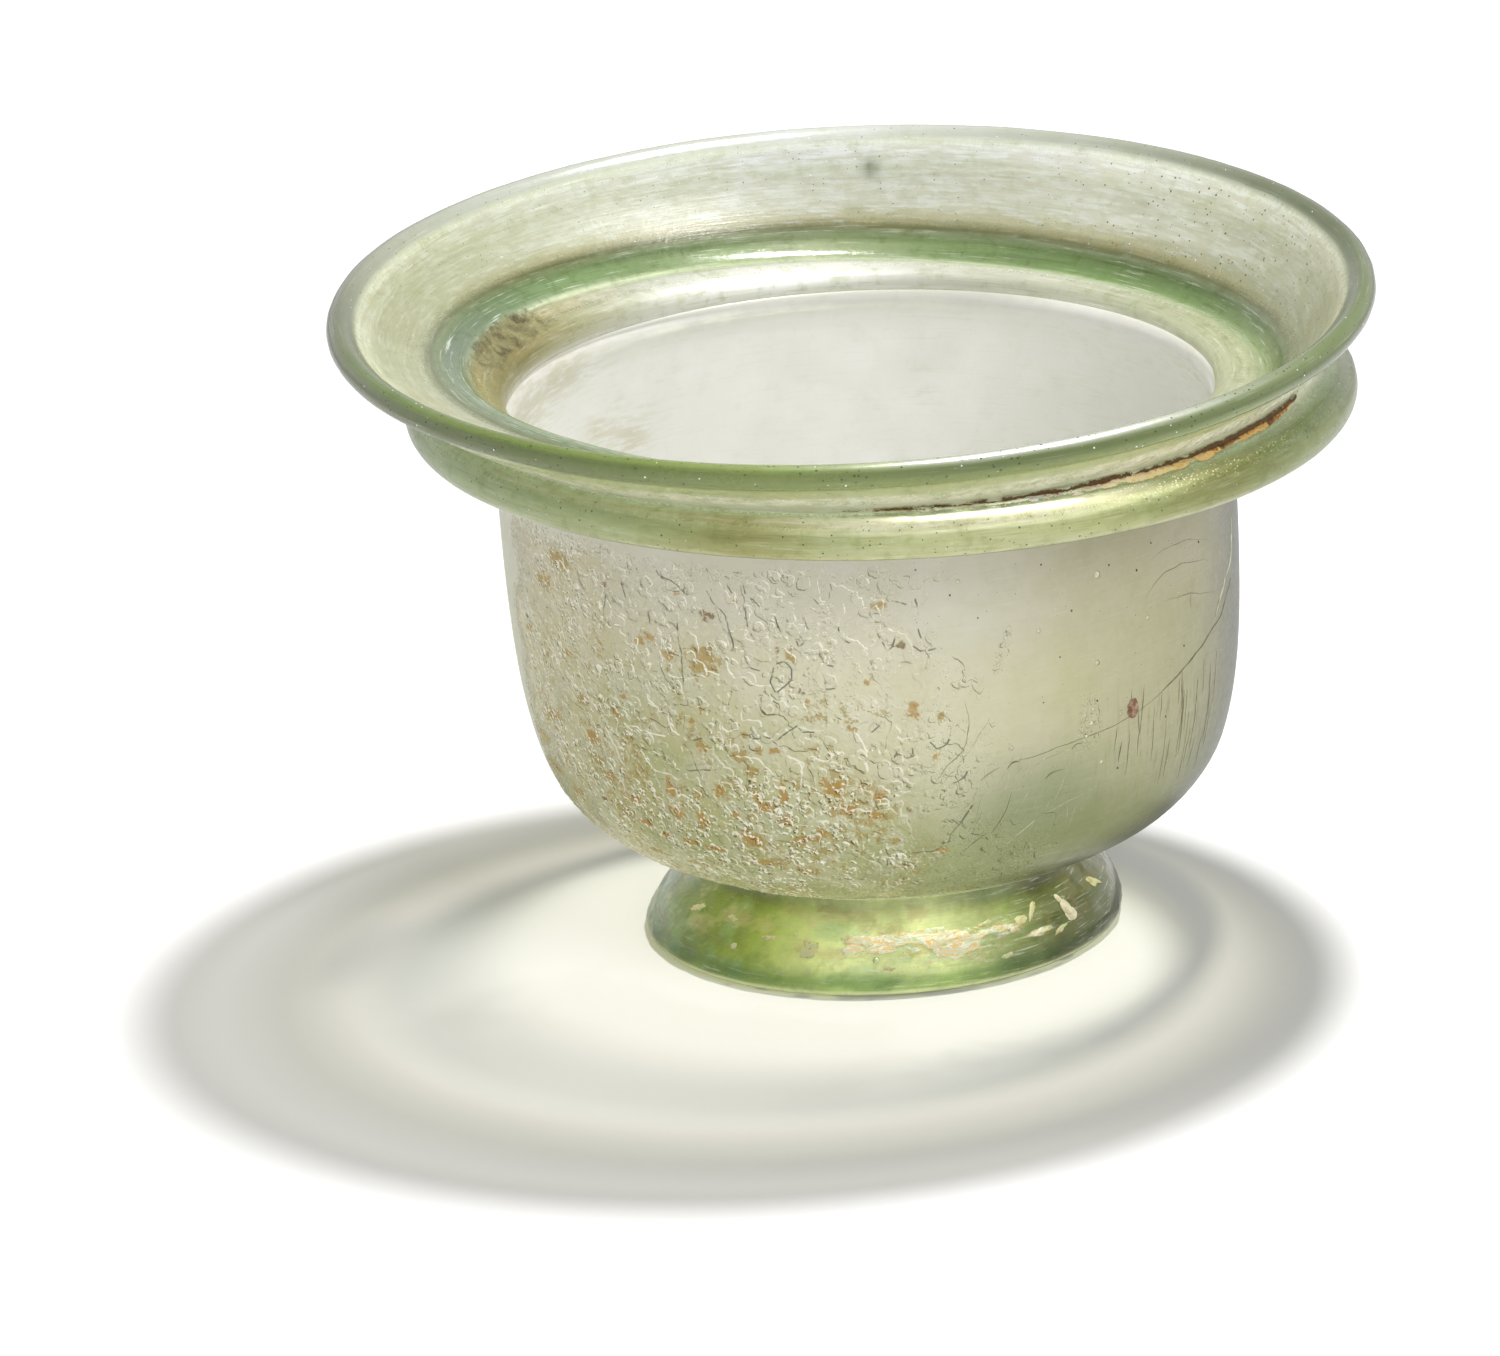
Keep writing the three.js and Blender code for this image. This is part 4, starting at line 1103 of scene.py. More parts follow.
# angle, height, half width, half height, kind: 0 orange, 1 ochre, 2 dark
STAINS = [
    (233.2, 41.3, 1.0, 0.7, 0), (236.5, 39.8, 1.0, 0.9, 1), (224.8, 45.6, 0.6, 0.4, 2), (238.9, 46.4, 0.6, 0.5, 0),
    (243.8, 44.2, 1.1, 0.9, 2), (244.3, 50.4, 1.3, 0.4, 0), (248.7, 46.0, 0.4, 0.4, 0), (214.8, 36.8, 1.1, 0.6, 0),
    (201.2, 37.2, 1.6, 0.6, 1), (217.3, 28.3, 1.9, 1.0, 0), (226.5, 34.0, 0.6, 0.5, 0), (224.6, 32.0, 0.9, 0.6, 0),
    (233.5, 25.0, 0.9, 1.4, 0), (234.0, 22.4, 1.5, 1.2, 0), (238.5, 21.8, 1.1, 1.3, 0), (246.9, 20.5, 2.1, 1.1, 0),
    (239.5, 18.6, 1.9, 0.6, 0), (234.6, 18.9, 1.4, 0.6, 0), (229.8, 19.2, 1.0, 0.5, 0), (225.2, 22.7, 1.0, 0.7, 0),
    (222.8, 22.9, 0.9, 0.5, 0), (222.4, 20.9, 0.7, 0.4, 2), (216.6, 21.4, 1.0, 0.4, 2), (240.9, 30.3, 1.0, 1.0, 1),
    (247.3, 29.8, 1.3, 1.1, 1), (248.9, 28.2, 1.1, 0.9, 1), (241.3, 34.3, 0.3, 1.1, 0), (239.3, 32.9, 0.5, 0.5, 0),
    (206.1, 28.9, 2.3, 1.1, 1), (242.8, 39.6, 2.4, 2.2, 1), (235.8, 39.8, 0.7, 0.7, 0), (271.0, 45.8, 1.1, 0.6, 1),
    (273.7, 41.5, 0.6, 0.5, 2), (257.0, 40.6, 0.9, 1.0, 1), (258.2, 36.9, 0.7, 0.5, 2), (258.9, 35.9, 0.6, 0.5, 0),
    (254.9, 41.4, 0.4, 0.4, 2), (268.2, 38.0, 0.5, 0.6, 0), (275.2, 34.6, 1.0, 1.1, 0), (265.7, 33.0, 0.8, 0.7, 1),
    (279.3, 33.9, 0.6, 0.6, 1), (278.0, 29.5, 0.5, 0.5, 0), (253.1, 30.6, 1.0, 0.6, 0), (253.6, 26.0, 0.7, 1.7, 0),
    (261.7, 26.7, 1.6, 1.5, 0), (269.2, 25.6, 1.1, 0.9, 0), (250.7, 24.2, 1.5, 1.1, 0), (259.1, 21.5, 1.2, 0.9, 0),
    (253.3, 22.8, 1.3, 0.9, 0), (256.1, 20.7, 1.5, 0.9, 0), (263.8, 24.3, 1.4, 0.9, 0), (268.3, 23.5, 1.2, 0.6, 0),
    (278.3, 18.9, 1.3, 0.6, 1), (247.3, 17.5, 3.0, 0.7, 1), (255.5, 16.7, 1.7, 0.9, 1), (273.5, 24.0, 0.5, 0.5, 2),
    (248.8, 25.4, 1.0, 1.0, 1), (231.1, 40.6, 1.0, 0.6, 1), (214.0, 46.6, 2.3, 1.5, 1), (208.8, 43.6, 2.1, 1.3, 1),
    (216.8, 32.2, 1.4, 1.0, 1), (218.0, 25.9, 1.9, 0.9, 1), (242.8, 25.6, 0.8, 0.9, 0), (244.7, 22.9, 0.8, 0.6, 0),
    (238.9, 24.7, 0.8, 0.7, 1), (224.8, 16.3, 2.7, 0.5, 1), (233.7, 16.0, 3.0, 0.5, 1), (225.9, 20.0, 1.5, 0.6, 0),
    (219.7, 24.5, 1.3, 0.7, 0), (207.5, 20.7, 2.4, 0.6, 1), (200.2, 22.0, 3.0, 1.0, 1), (198.4, 25.0, 2.8, 1.0, 1),
    (265.0, 19.4, 1.1, 0.5, 1), (270.9, 20.5, 0.8, 0.5, 1), (248.4, 32.0, 0.7, 0.7, 1), (250.6, 30.5, 0.8, 0.7, 1),
]

SKIN_R = 36.5
WALL_ROWS, WALL_V = rows_between(VESSEL_ROWS, (24.6, 10.75), (37.05, 51.6), 226)
SKIN_THETA = np.radians(np.linspace(192.0, 308.0, 401))
skin_base = place(WALL_ROWS, SKIN_THETA)
U = np.repeat((np.degrees(SKIN_THETA) - 192)[None] * math.pi / 180 * SKIN_R, 226, 0)
V = np.repeat(WALL_V[:, None], 401, 1)


def flat_at(angle, z):
    """Where a point of the wall lies on the skin's grid, in mm."""
    return (angle - 192) * math.pi / 180 * SKIN_R, float(np.interp(z, WALL_ROWS[:, 1], WALL_V))


wobble_u = 1.1 * (fbm(U * 0.7, V * 0.7, seed=51) - 0.5)
wobble_v = 1.1 * (fbm(U * 0.7, V * 0.7, seed=52) - 0.5)
sd = np.full(U.shape, 9.0)
on = np.zeros(U.shape)
for line in CRACKS:
    pts = [flat_at(*q) for q in line]
    for (ax, ay), (bx, by) in zip(pts[:-1], pts[1:]):
        pu, pv = U + wobble_u * 0.35, V + wobble_v * 0.35
        dx, dy = bx - ax, by - ay
        ln = math.hypot(dx, dy) + 1e-9
        t = ((pu - ax) * dx + (pv - ay) * dy) / ln**2
        tc = np.clip(t, 0, 1)
        d = np.hypot(pu - ax - tc * dx, pv - ay - tc * dy)
        side = np.sign((pv - ay) * dx - (pu - ax) * dy)
        if -dy * 0.6 + dx * 0.8 < 0:
            side = -side
        near = d < np.abs(sd)
        sd = np.where(near, d * side, sd)
        on = np.where(near, ((t > -0.02) & (t < 1.02)).astype(float) * (d < 0.6), on)
sd = np.clip(sd, -2, 2)

stain = np.zeros(U.shape)
kind = np.zeros(U.shape)
weight = np.full(U.shape, 1e-6)
for angle, z, ru, rv, k in STAINS:
    su, sv = flat_at(angle, z)
    g = np.exp(-0.5 * (((U - su) / (0.62 * ru)) ** 2 + ((V - sv) / (0.62 * rv)) ** 2))
    stain = np.maximum(stain, g)
    kind += g * k
    weight += g
kind = kind / weight / 2

top = step(24.0, 40.0, V)  # 0 at the bottom, 1 at the top of the wall
left = 1 - step(10.0, 30.0, U)
patchy = fbm(U * 0.16, V * 0.16, seed=61, octaves=3)
grain = np.clip(left * 0.95 + (1 - left) * step(0.47, 0.56, patchy) * 0.5 + 0.5 * (1 - step(14.0, 24.0, V)), 0, 1)
grain *= 1 - 0.75 * step(33.0, 42.0, V) * (1 - left)
grain *= 1 - 0.85 * step(52.0, 60.0, U)
border = 57.5 - 4.0 * step(30.0, 38.0, V) + 12.0 * (1 - step(14.0, 17.5, V)) * (1 - step(66.0, 73.0, U))
edge_u = step(0.0, 3.0, U) * (1 - step(-4.0, 3.5, U - border + 11 * (fbm(U * 0.28, V * 0.28, seed=63, octaves=4) - 0.5)))
pit_u, pit_v = flat_at(304.2, 30.3)
pits = np.exp(-0.5 * (((U - pit_u) / 0.9) ** 2 + ((V - pit_v) / 2.0) ** 2))
bit_u, bit_v = flat_at(289.6, 39.8)
pits = np.maximum(pits, 0.9 * np.exp(-0.5 * (((U - bit_u - 0.35 * (V - bit_v)) / 0.45) ** 2 + ((V - bit_v) / 1.6) ** 2)))
edge_u = np.maximum(edge_u, np.clip(1.3 * pits - 0.2, 0, 1))
grain = np.maximum(grain, pits)
dusk_u, dusk_v = flat_at(293.0, 22.5)
dusk = np.exp(-0.5 * (((U - dusk_u) / 6.0) ** 2 + ((V - dusk_v) / 3.6) ** 2))
glow_u, glow_v = flat_at(266.0, 37.0)
glow = np.exp(-0.5 * (((U - glow_u) / 9.5) ** 2 + ((V - glow_v) / 9.5) ** 2))
edge_v = step(0.0, 2.5, V + 3 * (fbm(U * 0.3, V * 0.3, seed=64) - 0.5)) * (1 - step(40.6, 44.8, V + 1.5 * (patchy - 0.5)))
cover = edge_u * edge_v * step(1.0, 6.0, U + 24 * (patchy - 0.5))
fading = (1 - step(49.0, 57.0, U + 6 * (patchy - 0.5))) * step(1.5, 11.0, U + 20 * (patchy - 0.5))
soft_top = 1 - 0.85 * step(29.0, 42.5, V + 6 * (patchy - 0.5)) * (1 - left)

layer = fbm(U * 0.40 + wobble_u, V * 0.40 + wobble_v, seed=71, octaves=4, gain=0.55)
plates = 0.4 * step(0.45, 0.47, layer) + 0.35 * step(0.54, 0.56, layer) + 0.25 * step(0.62, 0.64, layer)
f1, f2, own = cells((U + wobble_u) * 0.62, (V + wobble_v) * 0.62, 81)
flake = step(0.10, 0.17, f2 - f1) * (own > 0.35)
g1, g2, gown = cells((U + wobble_u * 0.8) * 1.35, (V + wobble_v * 0.8) * 1.35, 82)
beads = np.clip(1 - (g1 / 0.56) ** 2, 0, 1) * (0.3 + 0.7 * gown)
worms = 1 - np.abs(fbm(U * 1.5, V * 1.5, seed=84, octaves=3) - 0.5) * 9
worms = np.clip(worms, 0, 1)
ridge = step(-0.15, 0.15, sd) * (1 - step(0.1, 1.3, np.abs(sd))) * (on > 0)
busy = step(0.36, 0.52, fbm(U * 0.13 + 3, V * 0.13, seed=66, octaves=3)) * (1 - 0.15 * step(35.0, 43.0, V))
busy = np.clip(busy + 0.6 * left + 0.35 * step(30.0, 38.0, V) * (1 - step(38.0, 46.0, U)), 0, 1)
relief = (
    0.07 * plates * (1 - 0.4 * grain) * (0.4 + 0.6 * busy)
    + 0.05 * flake * busy * (1 - 0.5 * grain)
    + 0.07 * beads * np.clip(grain * 0.8 + 0.2 * busy, 0, 1)
    + 0.02 * worms * grain
    + 0.08 * ridge
)
height = (0.03 + relief) * step(0.0, 0.35, cover)
# painted relief light and shade: the relief's slope towards the upper right, kept per vertex for the skin's colour
slope_v, slope_u = np.gradient(relief, WALL_V[1] - WALL_V[0], U[0, 1] - U[0, 0])
painted_relief_light = -(slope_u * 0.62 + slope_v * 0.78)
sideways = np.stack([-np.sin(SKIN_THETA), np.cos(SKIN_THETA), 0 * SKIN_THETA], -1)
wall_skin = shell(
    "cracked_wall_skin",
    skin_base,
    np.clip(height, 0.0, 0.42),
    {
        "painted_relief_light": np.clip(painted_relief_light, -1.2, 1.2),
        "sideways": np.repeat(sideways[None], 226, 0),
        "glow": glow,
        "dusk": dusk,
        "busy": busy,
        "crack": sd,
        "crack_on": on,
        "stain": stain,
        "kind": kind,
        "grain": grain,
        "cover": cover,
        "rise": top,
        "leftward": left,
        "plates": plates,
        "fading": fading,
        "soft_top": soft_top,
    },
)


def skin_material():
    m = Nodes("cracked_silica_skin")
    p = m.mm()
    grain, stain, kind, cover = m.attr("grain"), m.attr("stain"), m.attr("kind"), m.attr("cover")
    rise, left, plates, busy = m.attr("rise"), m.attr("leftward"), m.attr("plates"), m.attr("busy")
    big = m.noise(p, 0.20, 4.0, 0.6)
    mid = m.noise(p, 0.85, 4.0, 0.6)
    fine = m.noise(p, 3.0, 3.0, 0.6)
    # painted relief light and shade: the same relief sampled a tenth of a millimetre up and to the right, so that edges
    # facing the light get a painted highlight and the opposite edges a painted shade
    along = m.attr("sideways", True)
    wide_off = m.vmath("ADD", m.vmath("SCALE", along, scale=0.135), (0, 0, 0.145))
    thin_off = m.vmath("ADD", m.vmath("SCALE", along, scale=-0.075), (0, 0, -0.08))
    q = m.vmath("ADD", p, wide_off)
    w = m.vmath("ADD", p, thin_off)
    bend = m.vmath("SCALE", m.vmath("SUBTRACT", m.noise(p, 0.9, 2.0, 0.5, colour=True), (0.5, 0.5, 0.5)), scale=1.1)

    def isle(at, scale, level, detail):
        return m.span(m.noise(at, scale, detail, 0.5, 0.3), level - 0.006, level + 0.006)

    def tile(at, scale, keep):
        at = m.vmath("ADD", at, bend)
        far = m.voronoi(at, scale)
        sort = m.new("ShaderNodeSeparateColor")
        m.put(sort.inputs[0], m.voronoi(at, scale, out="Color"))
        full = m.span(far, 0.40, 0.47, 1.0, 0.0)
        return m.math("MULTIPLY", full, m.math("GREATER_THAN", sort.outputs[0], keep))

    def painted_light_and_shade(shape):
        here = shape(p)
        up_edge = m.math("SUBTRACT", here, shape(q), clamp=True)
        low_edge = m.math("SUBTRACT", here, shape(w), clamp=True)
        return here, up_edge, low_edge

    large, large_up, large_low = painted_light_and_shade(lambda at: isle(at, 0.34, 0.49, 2.2))
    loops, loops_up, loops_low = painted_light_and_shade(lambda at: tile(at, 0.62, 0.38))
    small, small_up, small_low = painted_light_and_shade(lambda at: tile(at, 1.10, 0.42))
    tiny, tiny_up, tiny_low = painted_light_and_shade(lambda at: tile(at, 2.0, 0.35))
    calm = m.span(m.noise(p, 0.30, 3.0, 0.6), 0.42, 0.56)
    w_large = m.math("MULTIPLY", m.math("MULTIPLY_ADD", busy, 0.3, 0.7), m.math("SUBTRACT", 1.0, m.math("MULTIPLY", grain, 0.5)))
    w_loops = m.math("MULTIPLY", m.math("MULTIPLY_ADD", busy, 0.8, 0.2), m.math("SUBTRACT", 1.0, m.math("MULTIPLY", grain, 0.3)))
    w_small = m.math("MULTIPLY", m.math("ADD", m.math("MULTIPLY", grain, 0.9), m.math("MULTIPLY", busy, 0.6)), m.math("MULTIPLY_ADD", calm, 0.8, 0.2))
    w_tiny = m.math("MULTIPLY", m.math("ADD", m.math("MULTIPLY", grain, 1.1), m.math("MULTIPLY", busy, 0.2)), m.math("MULTIPLY_ADD", calm, 0.5, 0.5))

    def total(a, b, c, d):
        first = m.math("MAXIMUM", m.math("MULTIPLY", a, w_large), m.math("MULTIPLY", b, w_loops))
        return m.math("MAXIMUM", first, m.math("MAXIMUM", m.math("MULTIPLY", c, w_small), m.math("MULTIPLY", d, w_tiny)))

    uneven = m.span(m.noise(p, 1.5, 3.0, 0.6), 0.32, 0.54, 0.45, 1.3)
    # painted highlight on edges facing the upper right, painted shade on edges facing the lower left
    painted_relief_highlight = m.math("MULTIPLY", total(large_up, loops_up, small_up, tiny_up), uneven)
    painted_relief_highlight = m.math("ADD", painted_relief_highlight, m.span(m.attr("painted_relief_light"), 0.12, 0.6, 0.0, 0.6), clamp=True)
    painted_relief_highlight = m.math("MULTIPLY", painted_relief_highlight, m.math("MULTIPLY_ADD", m.attr("fading"), 0.6, 0.4))
    painted_relief_shade = m.math("MULTIPLY", total(large_low, loops_low, small_low, tiny_low), m.span(m.noise(p, 1.1, 2.0), 0.34, 0.54, 0.45, 1.3))
    painted_relief_shade = m.math("ADD", painted_relief_shade, m.span(m.attr("painted_relief_light"), -0.6, -0.12, 0.55, 0.0), clamp=True)
    # crack lines: a dark crevice with the flake's edge standing up beside it
    side = m.attr("crack")
    near = m.math("ABSOLUTE", side)
    line = m.math("MULTIPLY", m.span(near, 0.05, 0.13, 1.0, 0.0), m.attr("crack_on"))
    broken = m.math("MULTIPLY", line, m.span(m.noise(p, 1.3, 2.0), 0.38, 0.5))
    # colour
    colour = m.blend(rise, (0.44, 0.47, 0.20), (0.76, 0.71, 0.53))
    colour = m.blend(m.span(big, 0.42, 0.62, 0.0, 0.6), colour, m.blend(rise, (0.56, 0.53, 0.25), (0.70, 0.63, 0.36)))
    colour = m.blend(m.math("MULTIPLY", m.attr("glow"), 0.75), colour, (0.95, 0.92, 0.74))
    colour = m.blend(m.math("MULTIPLY", left, m.span(mid, 0.35, 0.65, 0.25, 0.85)), colour, (0.60, 0.52, 0.27))
    colour = m.blend(m.math("MULTIPLY", m.attr("dusk"), m.span(mid, 0.3, 0.6, 0.5, 0.95)), colour, (0.24, 0.29, 0.15))
    colour = m.blend(m.math("MULTIPLY", plates, 0.30), colour, (0.80, 0.77, 0.70))
    few = m.noise(p, 1.1, 4.0, 0.7)
    wide = m.noise(p, 0.18, 2.0, 0.5)
    seed = m.math("ADD", m.math("MULTIPLY", wide, 0.6), m.math("MULTIPLY", m.math("SUBTRACT", 1.0, rise), 0.14))
    rust = m.span(m.math("ADD", few, m.math("SUBTRACT", seed, 0.40)), 0.60, 0.66)
    rust = m.math("MULTIPLY", rust, m.span(m.math("ADD", grain, m.math("MULTIPLY", busy, 0.2)), 0.1, 0.5))
    rust = m.math("MULTIPLY", rust, m.attr("fading"))
    ragged = m.math("MULTIPLY", m.math("SUBTRACT", m.noise(p, 1.25, 5.0, 0.72), 0.5), 2.6)
    spot = m.span(m.math("ADD", stain, ragged), 0.42, 0.72)
    spot = m.math("MULTIPLY", spot, m.span(stain, 0.02, 0.15))
    tone = m.ramp(
        m.math("ADD", kind, m.math("MULTIPLY", m.math("SUBTRACT", fine, 0.5), 0.7)),
        [(0.0, (0.47, 0.26, 0.045)), (0.35, (0.46, 0.29, 0.06)), (0.62, (0.40, 0.29, 0.07)), (1.0, (0.20, 0.115, 0.035))],
    )
    colour = m.blend(m.math("MULTIPLY", rust, 0.8), colour, (0.44, 0.31, 0.08))
    colour = m.blend(m.math("MULTIPLY", spot, 0.85), colour, tone)
    colour = m.blend(painted_relief_shade, colour, m.blend(1.0, colour, (0.24, 0.25, 0.14), "MULTIPLY"))
    colour = m.blend(painted_relief_highlight, colour, (1.0, 0.98, 0.84))
    colour = m.blend(m.math("MULTIPLY", broken, 0.85), colour, (0.16, 0.17, 0.12))
    hide = m.math("MAXIMUM", m.math("MULTIPLY", rust, 0.5), m.math("MAXIMUM", m.math("MULTIPLY", spot, 0.8), broken))
    milky = m.math("ADD", m.math("MULTIPLY_ADD", plates, 0.10, 0.48), m.math("MULTIPLY", m.math("SUBTRACT", mid, 0.5), 0.3))
    milky = m.math("MAXIMUM", milky, hide, clamp=True)
    milky = m.math("MAXIMUM", milky, m.math("MULTIPLY", painted_relief_highlight, 0.95), clamp=True)
    milky = m.math("MAXIMUM", milky, m.math("MULTIPLY", painted_relief_shade, 0.95), clamp=True)
    # relief
    normal = m.bump(m.math("ADD", m.math("MULTIPLY", large, w_large), m.math("MULTIPLY", loops, w_loops)), 0.8, 0.05)
    normal = m.bump(m.math("ADD", m.math("MULTIPLY", small, w_small), m.math("MULTIPLY", tiny, w_tiny)), 0.8, 0.05, normal)
    normal = m.bump(m.math("MULTIPLY", m.span(side, -0.07, 0.07), m.attr("crack_on")), 1.0, 0.10, normal)
    shader = m.principled(
        Base_Color=colour,
        Roughness=m.math("MULTIPLY_ADD", hide, 0.35, m.math("MULTIPLY_ADD", fine, 0.25, 0.22)),
        Transmission_Weight=m.math("SUBTRACT", 1.0, milky, clamp=True),
        Normal=normal,
        IOR=1.45,
    )
    marks = m.math("MAXIMUM", m.math("MAXIMUM", painted_relief_highlight, painted_relief_shade), m.math("MAXIMUM", spot, broken), clamp=True)
    full = m.span(m.math("ADD", cover, m.math("MULTIPLY", m.math("SUBTRACT", big, 0.5), 0.8)), 0.45, 1.0)
    full = m.math("MULTIPLY", full, m.math("MULTIPLY", m.attr("fading"), m.attr("soft_top")))
    shown = m.math("MULTIPLY", m.span(cover, 0.05, 0.3), m.math("MAXIMUM", full, marks))
    gone = m.math("SUBTRACT", 1.0, shown, clamp=True)
    gone = m.math("MAXIMUM", gone, m.math("GREATER_THAN", m.attr("back"), 0.5))
    tint = m.blend(gone, (0.945, 0.93, 0.90), (1.0, 1.0, 1.0))
    return m.finish(let_lamps_through(m, shader.outputs[0], tint, gone))


wall_skin.data.materials.append(skin_material())
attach(wall_skin, "root")
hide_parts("wall_skin")

# ---- burial soil in the groove under the rim ----
GROOVE_ROWS, GROOVE_V = rows_between(VESSEL_ROWS, (46.25, 57.95), (47.2, 61.0), 26)
groove_theta = np.radians(np.linspace(258, 342, 601))
groove_base = place(GROOVE_ROWS, groove_theta) + hand_made(GROOVE_ROWS, groove_theta, None)
gu = np.repeat(np.degrees(groove_theta)[None] * math.pi / 180 * 46, 26, 0)
gv = np.repeat(GROOVE_V[:, None], 601, 1)
across = gv / gv.max()
along = np.repeat(np.linspace(0, 1, 601)[None], 26, 0)
packed = 0.35 + 0.65 * step(0.25, 0.5, along + 0.25 * (fbm(gu * 0.3, gv * 0.3, seed=90) - 0.5))
packed *= step(0.0, 0.08, along) * (1 - step(0.93, 1.0, along))
lump = fbm(gu * 1.1, gv * 1.1, seed=91, octaves=5, gain=0.6)
c1, c2, cown = cells(gu * 1.6, gv * 1.6, 92)
crumb = np.clip(1 - (c1 / 0.5) ** 2, 0, 1) * (cown > 0.4)
bank = np.sin(math.pi * np.clip(across * 1.02, 0, 1)) ** 0.8
start = 0.07 + 0.10 * step(0.55, 0.8, along) + 0.14 * step(0.78, 1.0, along)
low_side = step(0.0, 0.10, across - start) * (1 - step(0.52, 0.64, across))
soil_t = (0.40 * bank * packed + 0.22 * (lump - 0.45) + 0.14 * crumb * packed) * low_side
seam = np.exp(-0.5 * ((across - 0.40) / 0.06) ** 2) * step(0.10, 0.22, along) * (1 - step(0.80, 0.9, along))
seam *= 0.15 + 0.85 * step(0.44, 0.52, fbm(gu * 0.45, gv * 0.9, seed=97, octaves=4, gain=0.6))
ragged = fbm(gu * 0.55, gv * 2.2, seed=93, octaves=4, gain=0.6)
soil_cover = np.clip(low_side * (0.66 + 2.8 * (ragged - 0.5)) * packed * step(0.0, 0.2, along) + 0.25 * step(0.22, 0.32, across) * low_side * packed + seam, 0, 1)
groove_soil = shell(
    "groove_earth_fill",
    groove_base,
    np.clip(soil_t, 0.02, 0.90),
    {"cover": soil_cover, "along": along, "lump": lump, "across": across},
    lift=0.01,
)


def groove_material():
    m = Nodes("orange_brown_earth")
    p = m.mm()
    along, cover = m.attr("along"), m.attr("cover")
    mid = m.noise(p, 0.9, 4.0, 0.65)
    fine = m.noise(p, 3.5, 4.0, 0.65)
    base = m.ramp(
        m.math("ADD", along, m.math("MULTIPLY", m.math("SUBTRACT", mid, 0.5), 0.22)),
        [
            (0.0, (0.66, 0.60, 0.38)),
            (0.25, (0.86, 0.78, 0.52)),
            (0.38, (0.82, 0.80, 0.78)),
            (0.47, (0.84, 0.74, 0.48)),
            (0.60, (0.78, 0.60, 0.26)),
            (0.76, (0.66, 0.38, 0.09)),
            (1.0, (0.78, 0.58, 0.24)),
        ],
    )
    colour = m.blend(m.span(fine, 0.48, 0.7, 0.0, 0.5), base, (0.46, 0.24, 0.07))
    colour = m.blend(m.span(mid, 0.56, 0.68, 0.0, 0.7), colour, (0.62, 0.40, 0.15))
    slow = m.noise(p, 0.33, 4.0, 0.7)
    deep = m.math("ADD", m.attr("across"), m.math("MULTIPLY", m.math("SUBTRACT", mid, 0.5), 0.30))
    deep = m.math("ADD", deep, m.math("MULTIPLY", m.math("SUBTRACT", slow, 0.54), 0.9))
    colour = m.blend(m.span(deep, 0.25, 0.29), colour, (0.34, 0.15, 0.035))
    colour = m.blend(m.span(deep, 0.32, 0.37), colour, (0.11, 0.06, 0.02))
    normal = m.bump(fine, 1.0, 0.12)
    shader = m.principled(Base_Color=colour, Roughness=m.math("MULTIPLY_ADD", fine, 0.25, 0.72), Normal=normal)
    gone = m.math("SUBTRACT", 1.0, m.span(m.math("ADD", cover, m.math("MULTIPLY", m.math("SUBTRACT", fine, 0.5), 0.9)), 0.30, 0.42))
    gone = m.math("MAXIMUM", gone, m.math("GREATER_THAN", m.attr("back"), 0.5))
    clear = m.new("ShaderNodeBsdfTransparent")
    mixed = m.new("ShaderNodeMixShader")
    m.put(mixed.inputs[0], gone)
    m.put(mixed.inputs[1], shader.outputs[0])
    m.put(mixed.inputs[2], clear.outputs[0])
    return m.finish(mixed.outputs[0])


groove_soil.data.materials.append(groove_material())
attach(groove_soil, "root")
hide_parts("groove_soil")

# ---- burial soil on the ledge inside, at the left ----
LEDGE_ROWS, LEDGE_V = rows_between(VESSEL_ROWS, (40.5, 58.95), (35.9, 57.0), 41)
ledge_theta = np.radians(np.linspace(138, 186, 201))
ledge_base = place(LEDGE_ROWS, ledge_theta) + hand_made(LEDGE_ROWS, ledge_theta, None)
lu = np.repeat((np.degrees(ledge_theta) - 138)[None] * math.pi / 180 * 38, 41, 0)
lv = np.repeat(LEDGE_V[:, None], 201, 1)
lrag = fbm(lu * 0.35, lv * 0.35, seed=95, octaves=4, gain=0.6)
ledge_cover = step(2.0, 11.0, lu) * (1 - step(18.0, 31.0, lu)) * step(0, 1.0, lv) * (1 - step(lv.max() - 2.2, lv.max(), lv))
ledge_cover = np.clip(0.85 * ledge_cover + 0.5 * (lrag - 0.5) * ledge_cover, 0, 1)
ledge_t = 0.02 + 0.03 * ledge_cover + 0.015 * fbm(lu * 1.3, lv * 1.3, seed=96, octaves=3)
throat_soil = shell("ledge_earth_film", ledge_base, ledge_t, {"cover": ledge_cover}, lift=0.01)


